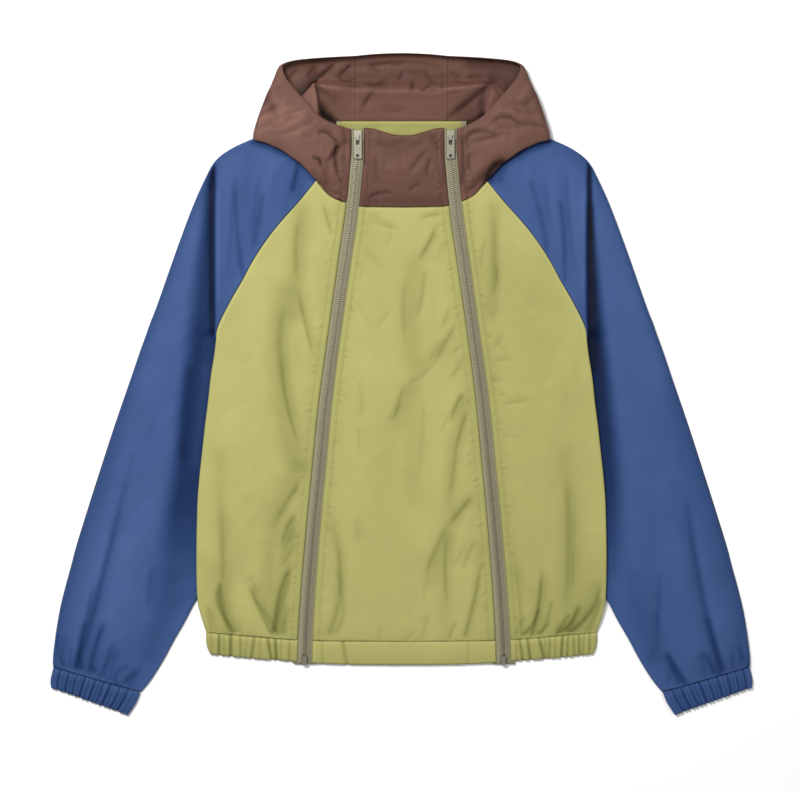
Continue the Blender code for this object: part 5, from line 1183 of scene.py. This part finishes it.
def hem_centre():
    rows, columns = 3, 12
    y_zip, y_zip_end = HEM_SEAM[1][1], HEM_EDGE[2][1]

    def point(row, column):
        v = 1 - row / rows
        x = (column / columns * 2 - 1) * zip_x(y_zip + v * (y_zip_end - y_zip), 0, -1) + ZIP_SHIFT
        y_top = lookup(HEM_SEAM, abs(x)) - SEAM
        y = y_top + v * (lookup(HEM_EDGE, abs(x)) - y_top)
        return x, y, front_z(x, HEM_LEVEL_Y)

    sheet = Sheet(coarse(rows, columns, point), step=1.5)
    v = sheet.down
    body = ease(sheet.low_column / 5) * ease(sheet.high_column / 5)
    sheet.lift(0.5 * ease(v * 3) * ease((1 - v) * 5 + 0.25) * body)
    crease = 0.0
    for x_top, x_low, width, height in HEM_FOLDS_CENTRE:
        crease = crease + height * bell(sheet.x - x_top, width, (x_low - x_top) * v)
    sheet.lift(crease * body)
    sheet.darken(np.clip(-crease, 0, 3) * 0.12)
    sheet.darken(0.02 + 0.16 * v * v)
    sheet.lift((ripple(sheet.x, sheet.y, 9, 26, 0.16) + ripple(sheet.x, sheet.y, 10, 9, 0.05)) * body)
    hem_edges(sheet, sheet.low_column, sheet.high_column)
    make(sheet, "hem_centre", "green")


def hem_back():
    rows, columns = 2, 12
    last = columns + 2 * ROLL_COLUMNS
    y_seam, y_end = HEM_SIDE[0][0], HEM_SIDE[-1][0]

    def point(row, column):
        v = 1 - row / rows
        y = y_seam - SEAM + v * (y_end - y_seam)
        half_width = lookup(HEM_SIDE, y)
        x_roll = half_width - ROLL
        if ROLL_COLUMNS <= column <= last - ROLL_COLUMNS:
            x = x_roll * ((column - ROLL_COLUMNS) / columns * 2 - 1)
            return x, y - v * (lookup(HEM_EDGE, HEM_EDGE[-1][0]) - lookup(HEM_EDGE, abs(x))), FLOOR_Z
        side = -1 if column < ROLL_COLUMNS else 1
        steps = ROLL_COLUMNS - column if side < 0 else column - (last - ROLL_COLUMNS)
        x, y, z = turned_edge(x_roll, half_width, y, FLOOR_Z, steps / ROLL_COLUMNS, False)
        return side * x, y, z

    sheet = Sheet(coarse(rows, last, point), step=2.5)
    waves = np.clip(np.sin(TURN * sheet.x / 9.1 + 1.1 * np.sin(sheet.x / 17)), 0, 1)
    sheet.lift(0.9 * waves * ease((sheet.inward - 6) / 10))
    make(sheet, "hem_back", "green")


# ---------------------------------------------------------------- sleeves and cuffs
def sleeve(side, folds, shade_rows, valley, band):
    last = len(SLEEVE_ROWS) - 1
    columns = SLEEVE_FRONT + SLEEVE_ARC + SLEEVE_BACK

    def point(row, column):
        index = last - row
        ix, iy, ox, oy, bx, by, crown = SLEEVE_ROWS[index]
        raglan = index < RAGLAN_ROWS
        ix, bx = ix + SEAM, bx + SEAM
        start_z = front_z(ix, iy) if raglan else TUCK_Z
        back_start = back_z(bx, by) if raglan else FLOOR_Z
        if index == RAGLAN_ROWS:
            start_z, back_start = ARMPIT_LEVELS
        length = math.hypot(ox - ix, oy - iy)
        dx, dy = (ox - ix) / length, (oy - iy) / length
        front_run = length - SLEEVE_FOLD
        hidden = 0.0 if raglan else max(lookup(FRONT_EDGE, iy) - ix, 0) / dx + 4
        if column <= SLEEVE_FRONT:
            away = front_run * column / SLEEVE_FRONT
            z = start_z + (crown - start_z) * ease((away - hidden) / SLEEVE_RISE)
            z += (SLEEVE_EDGE_Z - crown) * ease((away - front_run + SLEEVE_FALL) / SLEEVE_FALL)
            return side * (ix + dx * away), iy + dy * away, z
        middle = (SLEEVE_EDGE_Z + FLOOR_Z) / 2
        tall = (SLEEVE_EDGE_Z - FLOOR_Z) / 2
        if column < SLEEVE_FRONT + SLEEVE_ARC:
            turn = math.pi * (0.5 - (column - SLEEVE_FRONT) / SLEEVE_ARC)
            away = front_run + (SLEEVE_FOLD - WALL / 2) * math.cos(turn)
            return side * (ix + dx * away), iy + dy * away, middle + tall * math.sin(turn)
        share = (column - SLEEVE_FRONT - SLEEVE_ARC) / SLEEVE_BACK
        x0, y0 = ix + dx * front_run, iy + dy * front_run
        z = FLOOR_Z + (back_start - FLOOR_Z) * ease(share * 3 - 2)
        return side * (x0 + (bx - x0) * share), y0 + (by - y0) * share, z

    steps = (2.2,) * SLEEVE_FRONT + (1.6,) * SLEEVE_ARC + (14.0,) * SLEEVE_BACK
    sheet = Sheet(coarse(last, columns, point), step=2.4, column_step=steps)
    upper = sheet.column <= SLEEVE_FRONT
    ahead = np.abs(sheet.x)
    body_side = np.interp(sheet.y, *zip(*FRONT_EDGE[::-1]))
    beside = (sheet.y > ARMPIT_Y) | (sheet.y < FRONT_EDGE[-1][0])
    clear = np.where(beside, sheet.low_column, ahead - body_side)
    to_fold = SLEEVE_FRONT - sheet.column

    line, width, depth = (lookup(valley, sheet.y, k) for k in (1, 2, 3))
    out = ahead - line
    hollow = np.where(out > 0, bell(out, 0.62 * width), bell(out, 1.8))
    brow = 0.9 * bell(out, 5, -5) * (depth / 4)
    sheet.lift((brow - depth * hollow) * ease(to_fold / 1.5) * ease(clear / 6) * upper)
    edge, soft, left_over = (lookup(band, sheet.y, k) for k in (1, 2, 3))
    begin = np.where(sheet.y > 62, ease((ahead - line + 1.5) / 2.5), 1.0)
    shaded = begin * ease((edge + soft * 0.6 - ahead) / (1.6 * soft)) * ease((BAND_TOP_Y - sheet.y) / 8)
    sheet.darken((1 - left_over) * shaded * upper)
    fold_side = np.clip(to_fold * 5.0, 0, 60)
    sheet.darken(0.26 * np.exp(-fold_side / 5.0) * ease((SHOULDER_Y - 2 - sheet.y) / 40))

    fade = ease((clear - 3) / 10) * ease(to_fold / 1.2) * ease(sheet.low_row / 3)
    fade *= ease((SHOULDER_Y - sheet.y) / 26) * upper
    creased(sheet, folds, fade)
    shades(sheet, shade_rows, upper)
    uneven(sheet, fade, waves=(11 + side, 66, 0.15), facets=(14 + side, 60, 0.36),
           small=(34 + side, 24, 0.09))
    z = sheet.points[..., 2]
    z[:] = np.where(to_fold > 0.5, np.maximum(z, SLEEVE_LEAST_Z), z)
    cuff_seam = np.where(upper, sheet.low_row, FAR)
    gathers(sheet, cuff_seam, seed=side + 4, wave=7.5, amount=0.5, reach=7.0)
    seam_edge(sheet, cuff_seam, drop=0.5, soft=1.0, dark=0.1, lit=0.05)
    seam_edge(sheet, np.where(upper & (sheet.y > ARMPIT_Y - 12), sheet.low_column, FAR), drop=0.9, soft=1.2,
              dark=0.3)
    make(sheet, f"sleeve_{LABEL[side]}", "blue")


def cuff(side, folds):
    columns = CUFF_FRONT + CUFF_ARC + CUFF_BACK + CUFF_ARC
    rows = 2

    def edge(points, v):
        return [float(curve_through((0, 0.5, 1), values, v)) for values in zip(*points)]

    def point(row, column):
        v = 1 - row / rows
        ox, oy = edge(CUFF_OUTER, v)
        ix, iy = edge(CUFF_INNER, v)
        length = math.hypot(ix - ox, iy - oy)
        dx, dy = (ix - ox) / length, (iy - oy) / length
        column %= columns
        middle, tall = (CUFF_Z + FLOOR_Z) / 2, (CUFF_Z - FLOOR_Z) / 2
        flat = length - 2 * CUFF_FOLD
        reach = CUFF_FOLD - WALL / 2
        over = column - CUFF_FRONT
        under = over - CUFF_ARC
        back = under - CUFF_BACK
        if over <= 0:
            away = CUFF_FOLD + flat * column / CUFF_FRONT
            z = CUFF_Z
        elif under < 0:
            turn = math.pi * (0.5 - over / CUFF_ARC)
            away = length - CUFF_FOLD + reach * math.cos(turn)
            z = middle + tall * math.sin(turn)
        elif back <= 0:
            away = length - CUFF_FOLD - flat * under / CUFF_BACK
            z = FLOOR_Z
        else:
            turn = -math.pi * (0.5 - back / CUFF_ARC)
            away = CUFF_FOLD - reach * math.cos(turn)
            z = middle + tall * math.sin(turn)
        return side * (ox + dx * away), oy + dy * away, z

    sheet = Sheet(coarse(rows, columns, point), step=1.2, column_step=0.9)
    v, column = sheet.down, sheet.column
    upper = column <= CUFF_FRONT
    body = ease(column / 2.0) * ease((CUFF_FRONT - column) / 2.0) * upper
    length = math.dist(CUFF_OUTER[0], CUFF_INNER[0])
    along = CUFF_FOLD + (length - 2 * CUFF_FOLD) * column / CUFF_FRONT
    dents = [height * bell(along, width, length * fraction) * body for fraction, width, height in folds]
    gathered(sheet, CUFF_PUFF * ease(v * 4) * ease((1 - v) * 4 + 0.2) * body, dents, evenly=0.6, deepest=-3.3,
             draw=0.3, dark=0.12)
    sheet.darken(0.05 + 0.08 * v)
    seam_edge(sheet, np.where(upper, sheet.high_row, FAR), drop=0.5, soft=0.9, dark=0.1, lit=0.05)
    seam_edge(sheet, np.where(upper, sheet.low_row, FAR), drop=0.6, soft=1.0, dark=0.1)
    make(sheet, f"cuff_{LABEL[side]}", "blue", loop=True)


# ---------------------------------------------------------------- collar, hood and flap
def collar_centre():
    rows, columns = 8, 8

    def point(row, column):
        v = row / rows
        u = column / columns * 2 - 1
        away = u * zip_x(NECK_SEAM_Y + v * (COLLAR_TOP_Y - NECK_SEAM_Y), 0, -1)
        x = away + ZIP_SHIFT
        low = lookup(NECK_EDGE, abs(x)) + SEAM
        y = low + v * (lookup(COLLAR_TOP, abs(away)) - low)
        return x, y, collar_z(y) + COLLAR_BOW * (1 - u * u) * ease(v * 1.5)

    sheet = Sheet(coarse(rows, columns, point), step=1.3)
    fade = ease((sheet.inward - 7) / 7)
    fade *= ease(sheet.low_row / 6) * ease(sheet.high_row / 4)
    creased(sheet, COLLAR_FOLDS, fade, depth=1.15, dark=0.15)
    shades(sheet, COLLAR_SHADES)
    uneven(sheet, fade, waves=(15, 34, 0.15), facets=(16, 26, 0.3))
    sheet.darken(0.10)
    placket(sheet, sheet.low_column, seed=0.9)
    placket(sheet, sheet.high_column, seed=1.9)
    seam_edge(sheet, sheet.low_row, drop=0.7, soft=1.1)
    seam_edge(sheet, sheet.high_row, drop=1.2, soft=1.6, dark=0.1)
    sheet.darken(0.14 * bell(sheet.low_row, 16))
    sewn = sew(
        sheet, "brown",
        ("collar_right", sheet.low_column, STITCH_AT, True),
        ("collar_left", sheet.high_column, STITCH_AT, True),
        ("collar_top", sheet.high_row, TOP_STITCH, False),
    )
    make(sheet, "collar_centre", "brown")


def hood_point(across, up):
    """The point at this place across HOOD_ROWS and this place along a row."""
    sections, keys = range(len(HOOD_ROWS)), range(RIM_UP + 1)
    section = [
        [float(curve_through(sections, [row[key][axis] for row in HOOD_ROWS], across)) for key in keys]
        for axis in range(3)
    ]
    return [float(curve_through(keys, values, up)) for values in section]


def hood_side(side):
    last = len(HOOD_ROWS) - 1

    def point(row, column):
        across = column / HOOD_ACROSS * last
        x, y, z = hood_point(across, row / HOOD_UP * RIM_UP)
        x += side * ZIP_SHIFT * (1 - float(ease(across / 2.5)))
        if row == 0:
            if x < NECK_EDGE[-2][0]:
                y = max(y, float(lookup(NECK_EDGE, x)) + SEAM + 0.1)
            lap = float(ease(across - 6) * ease(11 - across))
            y -= NECK_LAP * lap
            z = max(z, 1.1 * lap)
        return side * x, y, z

    sheet = Sheet(coarse(HOOD_UP, HOOD_ACROSS, point), step=1.5)
    up = sheet.row / (HOOD_UP / RIM_UP)
    across = sheet.column * last / HOOD_ACROSS
    outside = ease((up - TURN_UP) / 0.8) + ease((3.5 - across) / 2) * (up <= TURN_UP)
    outside = np.clip(outside, 0, 1) * ease((RIM_UP - up) / 0.35 + 0.1)
    outside *= ease((sheet.low_column - 8) / 6)
    inner = ease((across - 8.5) / 1.5) * ease((BOWL_UP - up) / 0.5) * ease(up / 0.6)
    creased(sheet, HOOD_OUTSIDE, outside, depth=1.2, dark=0.18)
    creased(sheet, HOOD_INSIDE, inner, depth=1.35, dark=0.2)
    within = ease((across - 6.5) / 1.0) * (up < 5.6)
    shades(sheet, INSIDE_SHADES, within)
    shades(sheet, OUTSIDE_SHADES, 1 - within)
    sheet.darken(-0.07 * outside)
    uneven(sheet, outside, waves=(17 + side, 36, 0.2), facets=(18 + side, 30, 0.5))
    sheet.lift(crumple(sheet.x, sheet.y, 36 + side, 24, 0.26) * inner)
    placket(sheet, sheet.low_column, seed=1.3 + side)
    seam_edge(sheet, np.where(across < 4, sheet.low_row, FAR), drop=0.6, soft=1.0)
    seam_edge(sheet, sheet.high_column, drop=0.25, soft=0.9, dark=0.12)
    label = LABEL[side]
    sewn = sew(
        sheet, "brown",
        (f"zip_hood_{label}", sheet.low_column, STITCH_AT, True),
        (f"rim_{label}", sheet.high_row, RIM_STITCH, False),
    )
    make(sheet, f"hood_{label}", "brown")


def hood_centre():
    columns = 6

    def point(row, column):
        up = row / HOOD_UP * RIM_UP
        x = (column / columns * 2 - 1) * (STRIP_HALF + STRIP_LAP)
        _, y, z = hood_point(len(HOOD_ROWS) - 1, up)
        bow = 1 - (x / STRIP_HALF) ** 2
        y += STRIP_BOW * bow * up / RIM_UP - STRIP_DIP * bow * (1 - up / RIM_UP)
        return x, y, z

    sheet = Sheet(coarse(HOOD_UP, columns, point), step=1.6)
    up = sheet.row / (HOOD_UP / RIM_UP)
    inner = ease((BOWL_UP - up) / 0.5) * ease(up / 0.6)
    creased(sheet, HOOD_INSIDE, inner, depth=1.35, dark=0.2)
    shades(sheet, INSIDE_SHADES)
    sheet.lift(crumple(sheet.x, sheet.y, 38, 24, 0.26) * inner)
    seam_edge(sheet, sheet.low_column, drop=0.25, soft=0.9, dark=0.12)
    seam_edge(sheet, sheet.high_column, drop=0.25, soft=0.9, dark=0.12)
    make(sheet, "hood_centre", "brown")


def flap_binding(side):
    """Tape folded over one end of the storm flap."""
    def point(row, column):
        y, z = FLAP_ROWS[row]
        turn = math.pi * (0.5 - column / 4)
        reach = BINDING_WIDE if column in (0, 4) else 0.0
        return side * (FLAP_HALF - 0.2 - reach + 0.6 * math.cos(turn)), y, z + 0.75 * math.sin(turn)

    sheet = Sheet(coarse(len(FLAP_ROWS) - 1, 4, point), step=1.6, column_step=0.9)
    return shell(sheet, f"flap_binding_{LABEL[side]}", "tape", thick=BINDING_THICK)


def storm_flap():
    columns = 8

    def point(row, column):
        y, z = FLAP_ROWS[row]
        return (column / columns * 2 - 1) * FLAP_HALF, y, z

    trims = [flap_binding(side) for side in (-1, 1)]
    sheet = Sheet(coarse(len(FLAP_ROWS) - 1, columns, point), step=1.5)
    top = sheet.high_row
    sheet.lift(ripple(sheet.x, sheet.y, 20, 30, 0.3) * ease(top / 3) * ease(sheet.low_row / 14))
    sheet.lift(0.7 * bell(top, 2.2, 3) - 0.7 * bell(top, 0.9))
    sheet.darken(0.11 + 0.14 * ease((top - 1.5) / 3.0))
    sheet.darken(0.10 * bell(sheet.low_column, 12) + 0.10 * bell(sheet.high_column, 12))
    make(sheet, "storm_flap", "green")


# ---------------------------------------------------------------- zips
def tab_shade(y):
    """Up to 1 where the zip lies under the two holes of its pull tab: painted shade there, so the holes read
    dark.
    """
    return sum(bell(y, TAB_SHADE_REACH, at) for at in TAB_SHADE_Y)


def zip_strip(side, way):
    """One tape half; way 1 is the outer one."""
    inner = CHAIN_WIDE / 2 - TAPE_IN_TEETH
    levels = [ZIP_BOTTOM_Y, *range(-355, 325, 8), 327, ZIP_TOP_Y]
    columns = 4

    def point(row, column):
        y = levels[row]
        width = float(lookup(ZIP_LINE, y, 2)) + TAPE_UNDER
        off = inner + (width - inner) * (column / columns)
        lean = TAPE_FLARE if row == len(levels) - 1 else 0.0
        return side * (float(zip_x(y, side)) + way * (off + lean)), y, float(zip_z(y))

    sheet = Sheet(coarse(len(levels) - 1, columns, point), step=2.7, column_step=1.6)
    away = sheet.low_column
    sheet.lift(0.5 * bell(away, 0.9, 0.6))
    sheet.darken(0.20 * bell(away, 0.7, 2.3))
    # painted shade under the pull tab's holes
    sheet.darken(TAB_SHADE * tab_shade(sheet.y) * ease((3.0 - away) / 1.0))
    lit = -0.22 if side * way < 0 else 0.12
    sheet.darken(lit * bell(away, 1.6, 3.9))
    zip_name = f"zip_{LABEL[side]}"
    make(sheet, f"{zip_name}_tape_{'out' if way > 0 else 'in'}", "tape",
         thick=TAPE_THICK)


def tooth(work, x, y, z, way, slope):
    """One tooth: a block that grips the tape's bead, narrower at its nose and on top."""
    rings = []
    for off, wide, tall in TOOTH_RINGS:
        ring = []
        for a, b in TOOTH_CORNERS:
            dy = a * TOOTH_LONG / 2 * wide
            dz = b * TOOTH_HIGH / 2 * tall
            ring.append((x + way * off + slope * dy, y + dy - slope * way * off, z + dz))
        rings.append(ring)
    tube(work, rings)


def teeth(side):
    """Metal teeth of both tape halves, interlocked up to the slider."""
    work = bmesh.new()
    start = ZIP_BOTTOM_Y + STOP_LONG
    for i in range(int((CHAIN_TOP_Y - start) / TOOTH_PITCH)):
        y = start + (i + 0.5) * TOOTH_PITCH
        x = float(zip_x(y, side)) * side + CHAIN_SHIFT
        slope = (float(zip_x(y + 2, side)) - float(zip_x(y - 2, side))) * side / 4
        tooth(work, x, y, float(zip_z(y)) + CHAIN_LIFT, side if i % 2 else -side, slope)
    mesh = mesh_of(work, bpy.data.meshes.new(f"teeth_{LABEL[side]}"))
    # painted shade under the pull tab's holes
    set_tone(mesh, [1 - TAB_SHADE * float(tab_shade(v.co.y / MM)) for v in mesh.vertices])
    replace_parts(add_piece(mesh, TEETH_LOOK), f"zip_{LABEL[side]}_chain")


# ---------------------------------------------------------------- the jacket
back_panel()
hem_back()
front_centre()
hem_centre()
collar_centre()
hood_centre()
storm_flap()
for side, hem_folds, cuff_folds, sleeve_tables in (
    (-1, HEM_FOLDS_RIGHT, CUFF_FOLDS_RIGHT,
     (SLEEVE_FOLDS_RIGHT, SLEEVE_SHADES_RIGHT, VALLEY_RIGHT, BAND_RIGHT)),
    (1, HEM_FOLDS_LEFT, CUFF_FOLDS_LEFT,
     (SLEEVE_FOLDS_LEFT, SLEEVE_SHADES_LEFT, VALLEY_LEFT, BAND_LEFT)),
):
    front_side(side)
    hem_side(side, hem_folds)
    sleeve(side, *sleeve_tables)
    cuff(side, cuff_folds)
    hood_side(side)
    zip_strip(side, 1)
    zip_strip(side, -1)
    teeth(side)
    for part in ("slider", "pull", "stop"):
        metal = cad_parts[f"zip_{LABEL[side]}_{part}"].data.materials
        metal.clear()
        metal.append(METAL_LOOK)

# ---------------------------------------------------------------- floor, light and camera
FLOOR_DROP = 0.0006
bpy.ops.mesh.primitive_plane_add(size=8, location=(0, 0, -FLOOR_DROP))
floor = bpy.context.object
floor.name = "floor"
floor_look, _, floor_shader = nodes_of("floor_white")
connect(floor_shader, Base_Color=(0.92, 0.92, 0.92, 1), Roughness=0.9)
floor.data.materials.append(floor_look)

world = bpy.data.worlds.new("studio")
world.use_nodes = True
connect(world.node_tree.nodes["Background"], Color=(1, 1, 1, 1), Strength=0.32)
bpy.context.scene.world = world
bpy.context.scene.view_settings.view_transform = "Standard"
for name, place, size, power in (
    ("key", (-0.95, 1.15, 2.2), 0.75, 76),
    ("fill", (1.9, -0.4, 2.2), 1.8, 19),
):
    light = bpy.data.lights.new(name, "AREA")
    light.size = size
    light.energy = power
    item = bpy.data.objects.new(name, light)
    item.location = place
    item.rotation_euler = (-Vector(place)).to_track_quat("-Z", "Y").to_euler()
    bpy.context.scene.collection.objects.link(item)

PHOTO_PIXELS = 800  # the photo's width
PIXEL = 1.3 * MM  # one photo pixel at the jacket
VIEW_CENTRE = (-1.95 * MM, -13.65 * MM)
FOCUS_Z = 0.006
LENS = 85
SENSOR = 36
camera_data = bpy.data.cameras.new("camera")
camera_data.lens = LENS
camera_data.sensor_width = SENSOR
camera = bpy.data.objects.new("camera", camera_data)
camera.location = (*VIEW_CENTRE, FOCUS_Z + PHOTO_PIXELS * PIXEL * LENS / SENSOR)
bpy.context.scene.collection.objects.link(camera)
bpy.context.scene.camera = camera

bpy.context.view_layer.update()
